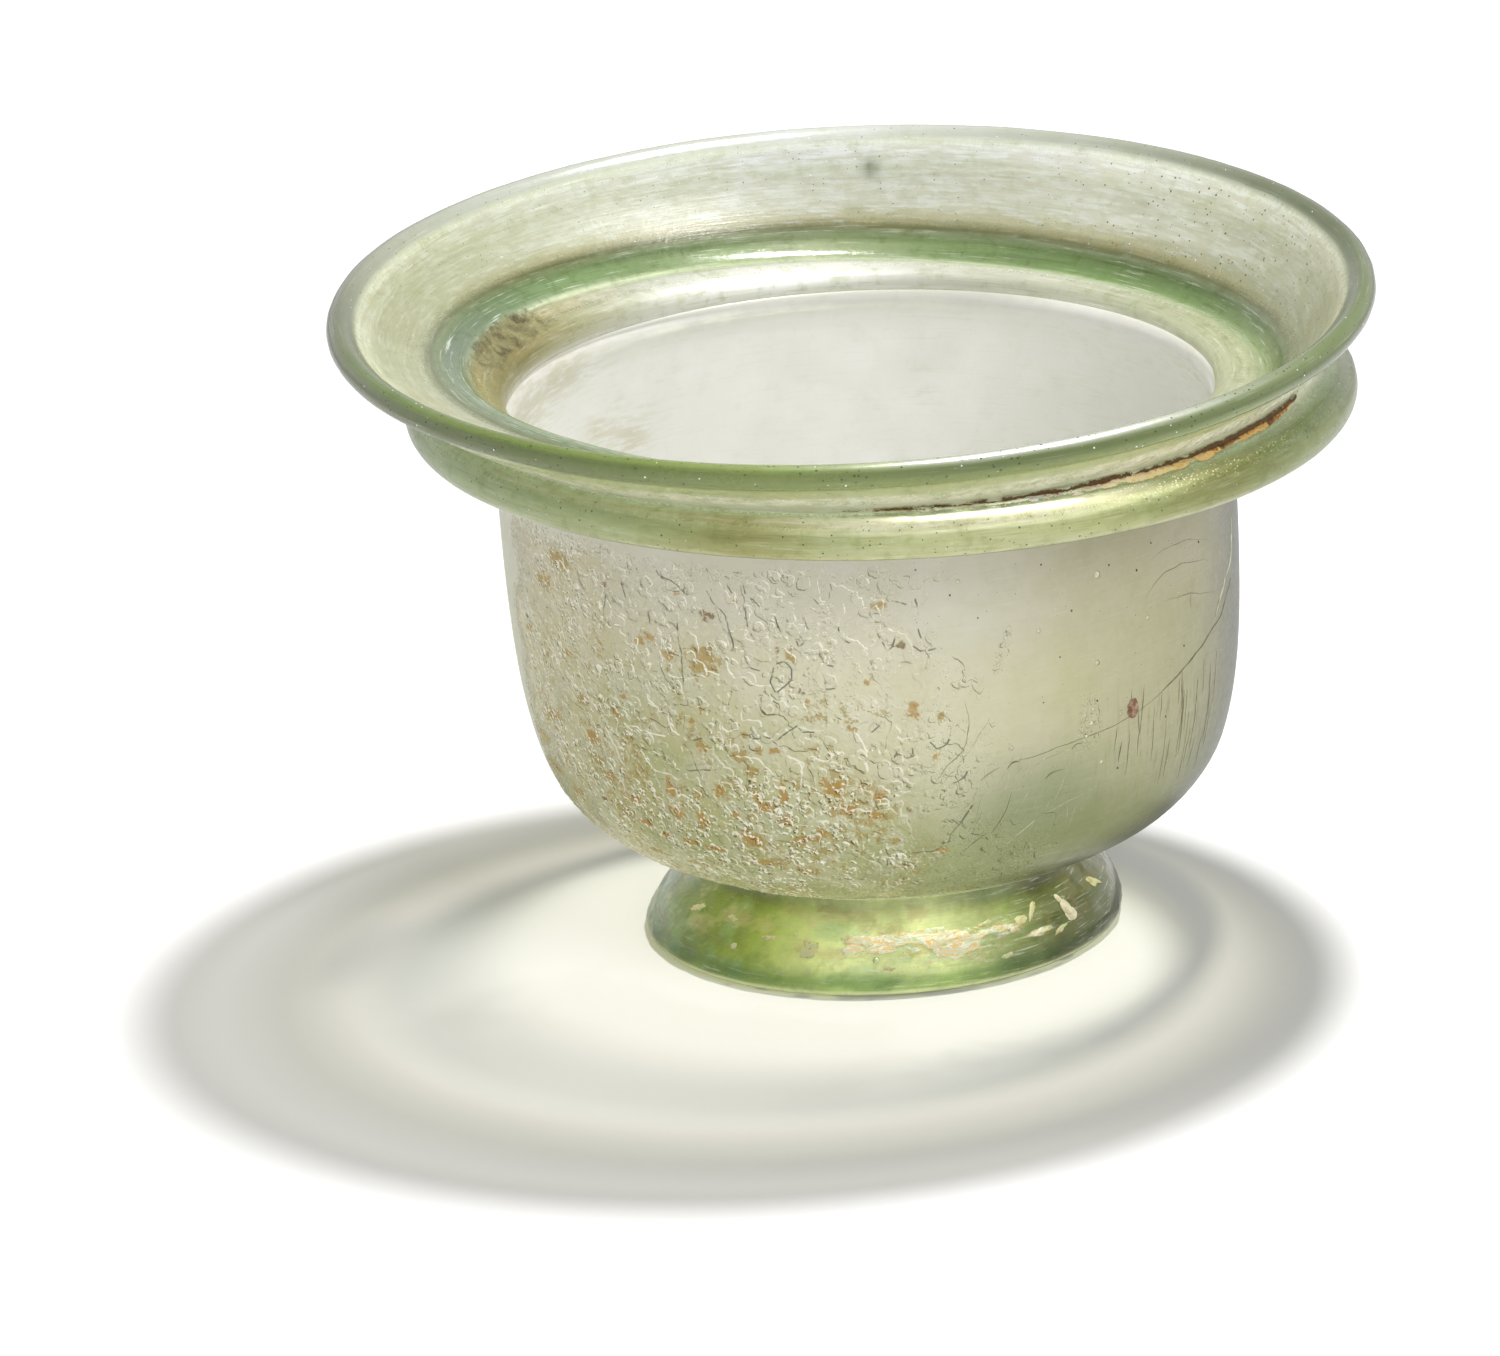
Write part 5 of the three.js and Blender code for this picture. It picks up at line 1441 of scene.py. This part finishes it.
def ledge_material():
    m = Nodes("olive_brown_earth")
    p = m.mm()
    cover = m.attr("cover")
    mid = m.noise(p, 0.7, 4.0, 0.65)
    fine = m.noise(p, 3.2, 4.0, 0.65)
    colour = m.ramp(
        mid,
        [(0.30, (0.035, 0.028, 0.008)), (0.40, (0.10, 0.085, 0.03)), (0.54, (0.21, 0.195, 0.08)), (0.72, (0.33, 0.32, 0.17))],
    )
    colour = m.blend(m.span(fine, 0.55, 0.7, 0.0, 0.5), colour, (0.24, 0.20, 0.08))
    normal = m.bump(fine, 0.4, 0.04)
    shader = m.principled(Base_Color=colour, Roughness=m.math("MULTIPLY_ADD", fine, 0.25, 0.6), Normal=normal)
    gone = m.math("SUBTRACT", 1.0, m.span(m.math("ADD", cover, m.math("MULTIPLY", m.math("SUBTRACT", m.noise(p, 0.8, 5.0, 0.7), 0.5), 1.9)), 0.25, 1.05, 0.0, 0.82))
    gone = m.math("MAXIMUM", gone, m.math("GREATER_THAN", m.attr("back"), 0.5))
    clear = m.new("ShaderNodeBsdfTransparent")
    mixed = m.new("ShaderNodeMixShader")
    m.put(mixed.inputs[0], gone)
    m.put(mixed.inputs[1], shader.outputs[0])
    m.put(mixed.inputs[2], clear.outputs[0])
    return m.finish(mixed.outputs[0])


throat_soil.data.materials.append(ledge_material())
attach(throat_soil, "root")
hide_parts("throat_soil")

# ---- pearly skin on the foot ----
face = np.argmin(np.hypot(FOOT_ROWS[:, 0] - 24.1, FOOT_ROWS[:, 1] - 0.9))
FACE_ROWS, FACE_V = rows_between(FOOT_ROWS[face:], (24.1, 0.9), (20.6, 6.0), 61)
foot_theta = np.radians(np.linspace(256, 328, 286))
foot_base = place(FACE_ROWS, foot_theta) + foot_push(FACE_ROWS, foot_theta, None)
fu = np.repeat((np.degrees(foot_theta) - 264)[None] * math.pi / 180 * 22.5, 61, 0)
fv = np.repeat(FACE_V[:, None], 286, 1)
lean = fv - 0.10 * fu
streak = fbm(fu * 0.16, lean * 0.85, seed=101, octaves=4, gain=0.55)
pearl = np.zeros(fu.shape)
for cu, cv, wu, wv, much in (
    (8.0, 3.9, 4.4, 1.05, 1.0), (4.4, 5.1, 3.2, 0.8, 0.9), (14.2, 4.5, 2.4, 0.6, 0.75), (-0.8, 5.4, 1.8, 0.4, 0.7),
    (18.5, 3.3, 1.3, 0.3, 0.6), (11.5, 5.3, 1.4, 0.4, 0.6), (-1.6, 4.2, 0.7, 0.4, 0.6),
):
    pearl = np.maximum(pearl, much * np.exp(-0.5 * (((fu - cu) / wu) ** 2 + ((fv - cv) / wv) ** 2)))
inner = step(0.0, 0.6, fv) * (1 - step(fv.max() - 0.3, fv.max(), fv)) * step(-3.1, -2.4, fu) * (1 - step(24.0, 25.0, fu))
pearl_cover = np.clip(pearl * 1.35 + 2.2 * (streak - 0.52) * step(0.05, 0.35, pearl), 0, 1) * inner
pearl_t = 0.02 + 0.10 * step(0.25, 0.5, pearl_cover) + 0.05 * fbm(fu * 1.5, fv * 1.5, seed=102, octaves=3)
foot_skin = shell("pearly_foot_skin", foot_base, pearl_t, {"cover": pearl_cover, "streak": streak, "across": fu, "up": fv}, lift=0.012)


def pearl_material():
    m = Nodes("pearly_flakes")
    p = m.mm()
    cover = m.attr("cover")
    fine = m.noise(p, 2.6, 4.0, 0.6)
    band = m.noise(m.vmath("MULTIPLY", p, (0.30, 0.30, 1.25)), 1.0, 4.0, 0.6, 0.9)
    colour = m.ramp(
        band,
        [
            (0.30, (0.36, 0.48, 0.20)),
            (0.37, (0.66, 0.70, 0.50)),
            (0.42, (0.80, 0.54, 0.16)),
            (0.46, (0.84, 0.76, 0.44)),
            (0.50, (0.56, 0.74, 0.56)),
            (0.54, (1.0, 0.98, 0.90)),
            (0.58, (0.86, 0.54, 0.16)),
            (0.63, (0.66, 0.72, 0.60)),
            (0.70, (0.74, 0.64, 0.36)),
        ],
    )
    normal = m.bump(band, 0.6, 0.12)
    normal = m.bump(fine, 0.6, 0.06, normal)
    shader = m.principled(
        Base_Color=colour,
        Metallic=0.0,
        Roughness=m.math("MULTIPLY_ADD", fine, 0.3, 0.18),
        Normal=normal,
        Specular_IOR_Level=0.7,
    )
    rag = m.math("ADD", m.math("MULTIPLY", m.math("SUBTRACT", fine, 0.5), 0.6), m.math("MULTIPLY", m.math("SUBTRACT", band, 0.5), 2.2))
    gone = m.math("SUBTRACT", 1.0, m.span(m.math("ADD", cover, rag), 0.18, 0.95, 0.0, 0.9))
    gone = m.math("MAXIMUM", gone, m.math("GREATER_THAN", m.attr("back"), 0.5))
    clear = m.new("ShaderNodeBsdfTransparent")
    mixed = m.new("ShaderNodeMixShader")
    m.put(mixed.inputs[0], gone)
    m.put(mixed.inputs[1], shader.outputs[0])
    m.put(mixed.inputs[2], clear.outputs[0])
    return m.finish(mixed.outputs[0])


foot_skin.data.materials.append(pearl_material())
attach(foot_skin, "root")
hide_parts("foot_skin")

# ---- the rusty nodule ----
def wall_point(angle, z, lift=0.0, foot_face=False):
    """A point of the outer wall, or of the foot's face, and its outward normal."""
    t = np.radians([angle - 0.2, angle, angle + 0.2])
    table = FACE_ROWS if foot_face else WALL_ROWS
    at = np.interp([z - 0.2, z, z + 0.2], table[:, 1], np.arange(len(table)))
    rows = np.stack([[np.interp(k, np.arange(len(table)), table[:, c]) for c in range(5)] for k in at])
    p = place(rows, t)
    if foot_face:
        p = p + foot_push(rows, t, None)
    n = np.cross(p[1, 2] - p[1, 0], p[2, 1] - p[0, 1])
    n /= np.linalg.norm(n)
    return p[1, 1] + n * lift, n


def blob(angle, z, ru, rv, h, seed, rings=7, segs=28, ragged=0.25, turn=0.0, sunk=0.03, foot_face=False):
    """A closed lens on the wall: verts and faces. ragged roughens its outline and face."""
    centre, n = wall_point(angle, z, 0.0, foot_face)
    side = np.cross([0, 0, 1.0], n)
    side /= np.linalg.norm(side)
    rise = np.cross(n, side)
    a = np.arange(segs) * 2 * math.pi / segs
    rad = 1 + ragged * (fbm(np.cos(a) * 1.6 + seed, np.sin(a) * 1.6, seed=seed) - 0.5) * 2
    verts, faces = [], []
    for q in range(rings):
        rho = 1 - q / rings
        x = ru * rho * rad * np.cos(a)
        y = rv * rho * rad * np.sin(a)
        x, y = x * math.cos(turn) - y * math.sin(turn), x * math.sin(turn) + y * math.cos(turn)
        w = h * (1 - rho**2.2) + h * ragged * 0.9 * (fbm(x * 3 + seed, y * 3, seed=seed + 1) - 0.5) * (rho < 1)
        curve = (x**2) / (2 * (22.5 if foot_face else 36.0))
        verts.append(centre + x[:, None] * side + y[:, None] * rise + (w - curve - sunk * (rho == 1))[:, None] * n)
    verts = np.concatenate(verts + [[centre + n * h * 1.02], [centre - n * sunk]])
    for q in range(rings - 1):
        for i in range(segs):
            faces.append((q * segs + i, q * segs + (i + 1) % segs, (q + 1) * segs + (i + 1) % segs, (q + 1) * segs + i))
    tris = []
    last = (rings - 1) * segs
    for i in range(segs):
        tris.append((last + i, last + (i + 1) % segs, rings * segs))
        tris.append(((i + 1) % segs, i, rings * segs + 1))
    return verts, np.array(faces), np.array(tris)


def joined(name, parts):
    verts, quads, tris, base = [], [], [], 0
    for v, q, t in parts:
        verts.append(v)
        quads.append(q + base)
        tris.append(t + base)
        base += len(v)
    return mesh_object(name, np.concatenate(verts), [np.concatenate(quads), np.concatenate(tris)])


def rib(points, width, height, seed, rough=0.25):
    """A closed, thin, tapering strip that follows the wall through the points (angle, z)."""
    a = np.array(points, float)
    d = np.hypot(np.diff(a[:, 0]) * 0.64, np.diff(a[:, 1]))
    s = np.concatenate([[0], np.cumsum(d)])
    count = max(8, int(s[-1] / 0.32))
    at = np.linspace(0, s[-1], count)
    ang, high = np.interp(at, s, a[:, 0]), np.interp(at, s, a[:, 1])
    for _ in range(6):
        ang[1:-1] = (ang[:-2] + 2 * ang[1:-1] + ang[2:]) / 4
        high[1:-1] = (high[:-2] + 2 * high[1:-1] + high[2:]) / 4
    stray = (fbm(at * 0.7 + seed * 3.1, at * 0 + seed, seed=seed, octaves=3) - 0.5) * rough
    both = [wall_point(x, y) for x, y in zip(ang, high)]
    p, n = np.stack([b[0] for b in both]), np.stack([b[1] for b in both])
    run = np.gradient(p, axis=0)
    run /= np.linalg.norm(run, axis=1)[:, None]
    side = np.cross(n, run)
    part = at / at[-1]
    w = width * np.clip(np.sin(math.pi * np.clip(part, 0.02, 0.98)), 0, 1) ** 0.5
    w = w * (0.65 + 0.7 * fbm(at * 1.3 + seed, at * 0, seed=seed + 5, octaves=2))
    p = p + side * stray[:, None]
    ring = [
        p + side * (w / 2)[:, None] - n * 0.02,
        p + n * (height * (0.5 + w / width / 2))[:, None],
        p - side * (w / 2)[:, None] - n * 0.02,
        p - n * 0.06,
    ]
    verts = np.stack(ring, 1).reshape(-1, 3)
    quads, tris = [], []
    for i in range(count - 1):
        for k in range(4):
            quads.append((i * 4 + k, i * 4 + (k + 1) % 4, i * 4 + 4 + (k + 1) % 4, i * 4 + 4 + k))
    e = (count - 1) * 4
    tris += [(0, 2, 1), (0, 3, 2), (e, e + 1, e + 2), (e, e + 2, e + 3)]
    quads, tris = np.array(quads), np.array(tris)
    every = np.concatenate([quads[:, [0, 1, 2]], quads[:, [0, 2, 3]], tris])
    c = verts - verts.mean(0)
    if np.einsum("ij,ij->i", c[every[:, 0]], np.cross(c[every[:, 1]], c[every[:, 2]])).sum() < 0:
        quads, tris = quads[:, ::-1], tris[:, ::-1]
    return verts, quads, tris


nodule = joined("rusty_nodule", [blob(313.0, 30.4, 0.78, 0.98, 0.45, 5, rings=12, segs=48, ragged=0.35)])


def nodule_material():
    m = Nodes("red_brown_mineral")
    p = m.mm()
    mid = m.noise(p, 1.6, 4.0, 0.6)
    fine = m.noise(p, 6.0, 3.0, 0.6)
    colour = m.ramp(mid, [(0.35, (0.15, 0.075, 0.04)), (0.5, (0.27, 0.15, 0.09)), (0.66, (0.56, 0.39, 0.27))])
    shader = m.principled(
        Base_Color=colour, Roughness=m.math("MULTIPLY_ADD", fine, 0.3, 0.55), Normal=m.bump(fine, 0.8, 0.06)
    )
    return m.finish(shader.outputs[0])


nodule.data.materials.append(nodule_material())
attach(nodule, "root")
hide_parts("wall_nodule")


# ---- small marks on the bare glass: cracks, scratches, bubbles, dark dots, loose flakes ----
def plain(name, stops, rough, scale=1.2, painted_rim_shade=None, metallic=0.0):
    m = Nodes(name)
    p = m.mm()
    mid = m.noise(p, scale, 4.0, 0.6)
    colour = m.ramp(mid, stops)
    if painted_rim_shade is not None:
        # painted shade: edges seen at a grazing angle are darkened towards this colour
        graze = m.new("ShaderNodeLayerWeight")
        graze.inputs["Blend"].default_value = 0.5
        colour = m.blend(m.span(graze.outputs["Facing"], 0.25, 0.65), colour, painted_rim_shade)
    shader = m.principled(
        Base_Color=colour,
        Metallic=metallic,
        Roughness=m.math("MULTIPLY_ADD", m.noise(p, 4.0, 2.0), 0.2, rough),
        Normal=m.bump(mid, 0.4, 0.04),
    )
    return m.finish(shader.outputs[0])


def little(name, parts, material):
    body = joined(name, parts)
    body.data.materials.append(material)
    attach(body, "root")
    return body


def chance(k, seed):
    return float(hash3(np.array([k]), np.array([seed]), np.array([7]), 77)[0])


LONG_CRACK = [
    (345.4, 37.6), (341.9, 36.3), (339.9, 35.1), (334.8, 34.2), (330.4, 33.2), (323.4, 31.7), (317.8, 30.4),
    (313.7, 29.6), (306.3, 29.0), (298.8, 28.5), (294.0, 28.0), (289.0, 27.8),
]
dark_lines = [
    rib(LONG_CRACK[:7], 0.34, 0.05, 3),
    rib(LONG_CRACK[5:], 0.13, 0.03, 14),
    rib([(316.6, 41.4), (318.9, 42.6), (321.9, 43.3), (327.3, 43.1), (334.1, 42.1)], 0.13, 0.03, 4),
    rib([(321.0, 40.1), (322.7, 40.2), (327.6, 39.8), (331.6, 39.0), (337.2, 37.9)], 0.13, 0.03, 5),
    rib([(328.3, 39.7), (327.9, 38.9), (328.3, 38.1)], 0.14, 0.03, 15),
    rib([(318.1, 45.1), (322.0, 45.6), (328.0, 45.4), (335.0, 43.9)], 0.11, 0.02, 7),
    rib([(283.2, 35.2), (283.8, 32.5), (282.8, 30.1), (279.3, 28.0), (277.5, 26.5)], 0.12, 0.03, 6),
    rib([(300.8, 27.9), (301.6, 28.6), (302.8, 28.3)], 0.16, 0.04, 8),
    rib([(289.5, 27.2), (290.4, 28.0), (291.6, 27.7)], 0.16, 0.04, 9),
    rib([(296.0, 25.3), (297.2, 26.0), (299.4, 25.9)], 0.18, 0.04, 10),
    rib([(285.0, 26.4), (286.6, 27.1), (288.4, 27.6)], 0.14, 0.04, 11),
    rib([(286.8, 20.0), (288.6, 21.6), (289.9, 23.4), (290.2, 24.6)], 0.14, 0.04, 12),
    rib([(282.0, 18.4), (284.5, 19.6), (286.3, 20.4)], 0.14, 0.04, 13),
]
for k in range(34):
    a0 = 307.5 + 31.0 * chance(k, 1) ** 0.9
    z0 = 25.0 + 8.5 * chance(k, 2) - 0.06 * (a0 - 308)
    ln = 2.2 + 4.6 * chance(k, 3)
    tilt = 0.30 + 0.9 * (chance(k, 4) - 0.4)
    dark_lines.append(
        rib([(a0, z0), (a0 - tilt * 0.5, z0 - ln * 0.5), (a0 - tilt, z0 - ln)], 0.13 + 0.07 * chance(k, 5), 0.03, 20 + k)
    )
little(
    "hairline_cracks",
    dark_lines,
    plain("crack_shadow", [(0.35, (0.11, 0.10, 0.055)), (0.65, (0.24, 0.22, 0.12))], 0.4),
)

pale_lines = [
    rib([(274.5, 28.3), (277.9, 27.9), (282.6, 26.6)], 0.14, 0.04, 61),
    # painted highlight: the two broad pale ribs here stand for a bright streak along a fold beside the long crack
    rib([(341.8, 38.4), (340.6, 37.6), (338.8, 36.8), (336.6, 35.3)], 0.55, 0.09, 62, rough=0.0),
    rib([(347.5, 43.5), (346.6, 41.5), (345.7, 39.4), (342.6, 38.6)], 0.7, 0.06, 60, rough=0.0),
    rib([(287.4, 33.4), (284.0, 30.0), (281.0, 28.0), (278.0, 25.8)], 0.12, 0.03, 63),
    rib([(276.4, 20.0), (280.4, 22.4), (284.4, 24.6), (290.0, 25.2)], 0.14, 0.04, 64),
    rib([(285.4, 16.5), (291.0, 19.2), (296.0, 21.4), (300.6, 22.2), (306.0, 23.0)], 0.16, 0.04, 65),
    rib([(292.0, 26.6), (297.0, 27.6), (302.0, 28.2)], 0.10, 0.03, 66),
    rib([(297.2, 21.6), (299.4, 24.4), (300.6, 27.4)], 0.11, 0.03, 67),
]
for k in range(26):
    a0 = 281.0 + 21.0 * chance(k, 11)
    z0 = 18.0 + 9.0 * chance(k, 12)
    way = math.pi * (0.15 + 0.5 * chance(k, 13))
    ln = 1.2 + 2.8 * chance(k, 14)
    curl = 1.4 * (chance(k, 15) - 0.5)
    pts = []
    for q in range(6):
        way_q = way + curl * q / 5
        pts.append((a0, z0))
        a0 += math.cos(way_q) * ln / 5 / 0.62
        z0 += math.sin(way_q) * ln / 5
    pale_lines.append(rib(pts, 0.09 + 0.05 * chance(k, 16), 0.03, 70 + k, rough=0.1))
little(
    "raised_scratches_and_painted_glints",
    pale_lines,
    plain("scratch_glint", [(0.35, (0.32, 0.34, 0.20)), (0.6, (0.62, 0.61, 0.43))], 0.25),
)

BUBBLES = [
    (306.8, 45.5, 0.42), (283.3, 47.6, 0.26), (295.7, 41.2, 0.28), (306.0, 36.4, 0.32), (290.3, 29.4, 0.28),
    (275.6, 29.0, 0.22), (316.8, 39.3, 0.26), (306.7, 25.6, 0.24), (283.0, 33.0, 0.2), (310.5, 30.2, 0.2),
    (303.4, 31.2, 0.24), (304.6, 30.2, 0.3), (302.9, 29.6, 0.22), (304.9, 31.6, 0.2), (303.6, 28.9, 0.2),
    (290.2, 41.1, 0.26), (290.3, 40.3, 0.22), (288.8, 38.4, 0.24), (288.3, 37.6, 0.18), (289.4, 39.3, 0.18),
]
little(
    "blisters_on_the_wall",
    [blob(a, z, r, r, r * 0.42, 200 + k, rings=8, segs=20, ragged=0.12, sunk=0.04) for k, (a, z, r) in enumerate(BUBBLES)],
    plain("blister_glass", [(0.35, (0.52, 0.49, 0.34)), (0.65, (0.80, 0.78, 0.60))], 0.12, painted_rim_shade=(0.12, 0.12, 0.07)),
)
DOTS = [
    (314.9, 44.6, 0.15), (309.3, 46.1, 0.12), (301.7, 42.5, 0.12), (325.9, 34.6, 0.12), (281.9, 46.3, 0.11),
    (305.8, 32.4, 0.12), (297.0, 47.9, 0.1), (318.6, 46.8, 0.12), (286.0, 43.6, 0.09), (321.0, 28.0, 0.11),
    (299.2, 38.0, 0.09), (310.2, 24.4, 0.12), (296.0, 33.6, 0.09), (331.5, 44.4, 0.12), (277.0, 49.2, 0.1),
]
little(
    "dark_grains_on_the_wall",
    [blob(a, z, r, r * 1.15, 0.08, 260 + k, rings=4, segs=12, ragged=0.4) for k, (a, z, r) in enumerate(DOTS)],
    plain("dark_grain", [(0.35, (0.05, 0.045, 0.02)), (0.65, (0.13, 0.12, 0.05))], 0.5),
)
FLAKES = [
    (341.3, 5.2, 1.1, 0.6, -0.5), (306.9, 5.2, 1.1, 0.42, 0.3), (311.7, 5.6, 1.4, 0.35, 0.7),
    (248.4, 4.4, 0.85, 0.95, -0.3), (243.0, 5.4, 0.35, 0.3, 0.0), (205.3, 5.2, 1.1, 0.7, 0.4), (220.7, 5.6, 0.8, 0.35, -0.2),
    (257.5, 5.4, 0.7, 0.3, 0.2), (318.0, 3.4, 1.0, 0.25, 0.3), (296.5, 5.6, 0.9, 0.3, 0.1), (227.0, 3.6, 0.5, 0.35, 0.2),
    (270.0, 2.9, 0.6, 0.22, 0.0), (300.0, 2.6, 0.9, 0.2, 0.15), (236.0, 4.9, 0.9, 0.28, 0.1),
]
little(
    "loose_pearly_flakes",
    [
        blob(a, z, ru, rv, 0.07, 300 + k, rings=7, segs=36, ragged=0.75, turn=turn, foot_face=True)
        for k, (a, z, ru, rv, turn) in enumerate(FLAKES)
    ],
    plain("cream_flake", [(0.36, (0.34, 0.32, 0.13)), (0.48, (0.56, 0.50, 0.27)), (0.62, (0.42, 0.50, 0.25))], 0.35, 1.8),
)
little(
    "cream_wedge_on_the_foot",
    [
        blob(324.0, 4.2, 1.15, 0.70, 0.06, 340, rings=7, segs=36, ragged=0.16, foot_face=True),
        blob(323.4, 4.9, 0.80, 0.90, 0.08, 341, rings=7, segs=36, ragged=0.16, foot_face=True),
        blob(322.9, 5.6, 0.42, 0.75, 0.06, 342, rings=7, segs=36, ragged=0.16, foot_face=True),
    ],
    plain("pale_wedge", [(0.36, (0.46, 0.42, 0.25)), (0.6, (0.66, 0.61, 0.44))], 0.35, 1.8),
)
little(
    "seed_bubble_on_the_foot",
    [blob(266.4, 3.7, 0.34, 0.34, 0.2, 331, rings=8, segs=24, ragged=0.1, foot_face=True)],
    plain("foot_blister", [(0.35, (0.40, 0.50, 0.20)), (0.65, (0.66, 0.74, 0.44))], 0.1, painted_rim_shade=(0.14, 0.20, 0.05)),
)

# ---------------------------------------------------------------------------------------------
# Floor, light, camera
# ---------------------------------------------------------------------------------------------
floor = mesh_object(
    "table_top",
    [(-6000, -6000, 0), (6000, -6000, 0), (6000, 6000, 0), (-6000, 6000, 0)],
    [(0, 1, 2, 3)],
    smooth_shade=False,
)
paper = Nodes("white_paper")
grain = paper.noise(paper.mm(), 0.9, 3.0, 0.6)
far = paper.new("ShaderNodeVectorMath", operation="LENGTH")
paper.put(far.inputs[0], paper.mm())
near_white = paper.blend(grain, (0.86, 0.86, 0.86), (0.88, 0.88, 0.88))
paper_shader = paper.principled(
    Base_Color=paper.blend(paper.span(far.outputs["Value"], 130.0, 300.0), near_white, (1.0, 1.0, 1.0)), Roughness=0.9,
    Emission_Color=(1.0, 1.0, 1.0, 1.0), Emission_Strength=paper.span(far.outputs["Value"], 1500.0, 5600.0, 0.0, 0.6),
)
floor.data.materials.append(paper.finish(paper_shader.outputs[0]))

scene = bpy.context.scene
world = bpy.data.worlds.new("studio")
scene.world = world
world.use_nodes = True
background = world.node_tree.nodes["Background"]
nt = world.node_tree
coordinate = nt.nodes.new("ShaderNodeTexCoord")
split = nt.nodes.new("ShaderNodeSeparateXYZ")
nt.links.new(coordinate.outputs["Generated"], split.inputs[0])
fade = nt.nodes.new("ShaderNodeMapRange")
fade.interpolation_type = "SMOOTHSTEP"
fade.inputs["From Min"].default_value = 0.05
fade.inputs["From Max"].default_value = 0.75
fade.inputs["To Min"].default_value = 1.02
fade.inputs["To Max"].default_value = 0.22
nt.links.new(split.outputs["Z"], fade.inputs["Value"])
toward = nt.nodes.new("ShaderNodeMapRange")
toward.interpolation_type = "SMOOTHSTEP"
toward.inputs["From Min"].default_value = -0.9
toward.inputs["From Max"].default_value = 0.1
toward.inputs["To Min"].default_value = 0.86
toward.inputs["To Max"].default_value = 1.0
nt.links.new(split.outputs["Y"], toward.inputs["Value"])
both = nt.nodes.new("ShaderNodeMath")
both.operation = "MULTIPLY"
nt.links.new(fade.outputs["Result"], both.inputs[0])
nt.links.new(toward.outputs["Result"], both.inputs[1])
nt.links.new(both.outputs[0], background.inputs["Strength"])
background.inputs["Color"].default_value = (1.0, 1.0, 1.0, 1)

key_data = bpy.data.lights.new("key", "AREA")
key_data.shape = "DISK"
key_data.size = 0.05
key_data.energy = 2.6
key_data.color = (1.0, 0.99, 0.97)
key = bpy.data.objects.new("key", key_data)
scene.collection.objects.link(key)
key.location = Vector((88, 131, 480)) * MM
key.rotation_euler = (Vector((0, 0, 30)) * MM - key.location).to_track_quat("-Z", "Y").to_euler()

fill_data = bpy.data.lights.new("fill", "SUN")
fill_data.angle = math.radians(24)
fill_data.energy = 0.95
fill = bpy.data.objects.new("fill", fill_data)
scene.collection.objects.link(fill)
fill.location = Vector((290, -440, 370)) * MM
fill.rotation_euler = (Vector((0, 0, 30)) * MM - fill.location).to_track_quat("-Z", "Y").to_euler()
fill.visible_glossy = False
fill.visible_transmission = False

elev, roll = math.radians(18.8), math.radians(2.6)
FOCAL = 13902.24
look = Vector((0.6, 0.0, 33.0)) * MM
right = Vector((1, 0, 0))
back = Vector((0, -math.cos(elev), math.sin(elev)))
up = Vector((0, math.sin(elev), math.cos(elev)))
eye = look + back * 1.4
X, Y = 750 - 870.572, -(678 - 608.158)
cr, sr = math.cos(roll), math.sin(roll)
u, v = X * cr + Y * sr, -X * sr + Y * cr
aim = (right * (u / FOCAL) + up * (v / FOCAL) - back).normalized()
cam_x = right * cr - up * sr
cam_z = -aim
cam_x = (cam_x - cam_z * cam_x.dot(cam_z)).normalized()
cam_y = cam_z.cross(cam_x)
camera_data = bpy.data.cameras.new("camera")
camera_data.sensor_width = 36
camera_data.sensor_fit = "HORIZONTAL"
camera_data.lens = FOCAL / 1500 * 36 / math.cos(math.atan(math.hypot(X, Y) / FOCAL))
camera_data.clip_start = 0.05
camera_data.clip_end = 60
camera = bpy.data.objects.new("camera", camera_data)
scene.collection.objects.link(camera)
camera.matrix_world = Matrix(
    (
        (cam_x.x, cam_y.x, cam_z.x, eye.x),
        (cam_x.y, cam_y.y, cam_z.y, eye.y),
        (cam_x.z, cam_y.z, cam_z.z, eye.z),
        (0, 0, 0, 1),
    )
)
scene.camera = camera

scene.view_settings.view_transform = "Standard"
scene.view_settings.look = "None"
cycles = scene.cycles
cycles.max_bounces = 24
cycles.transmission_bounces = 20
cycles.glossy_bounces = 6
cycles.diffuse_bounces = 4
cycles.transparent_max_bounces = 24
cycles.volume_bounces = 0
cycles.caustics_reflective = False
cycles.caustics_refractive = False
cycles.sample_clamp_indirect = 4.0
cycles.use_denoising = True
cycles.denoiser = "OPENIMAGEDENOISE"
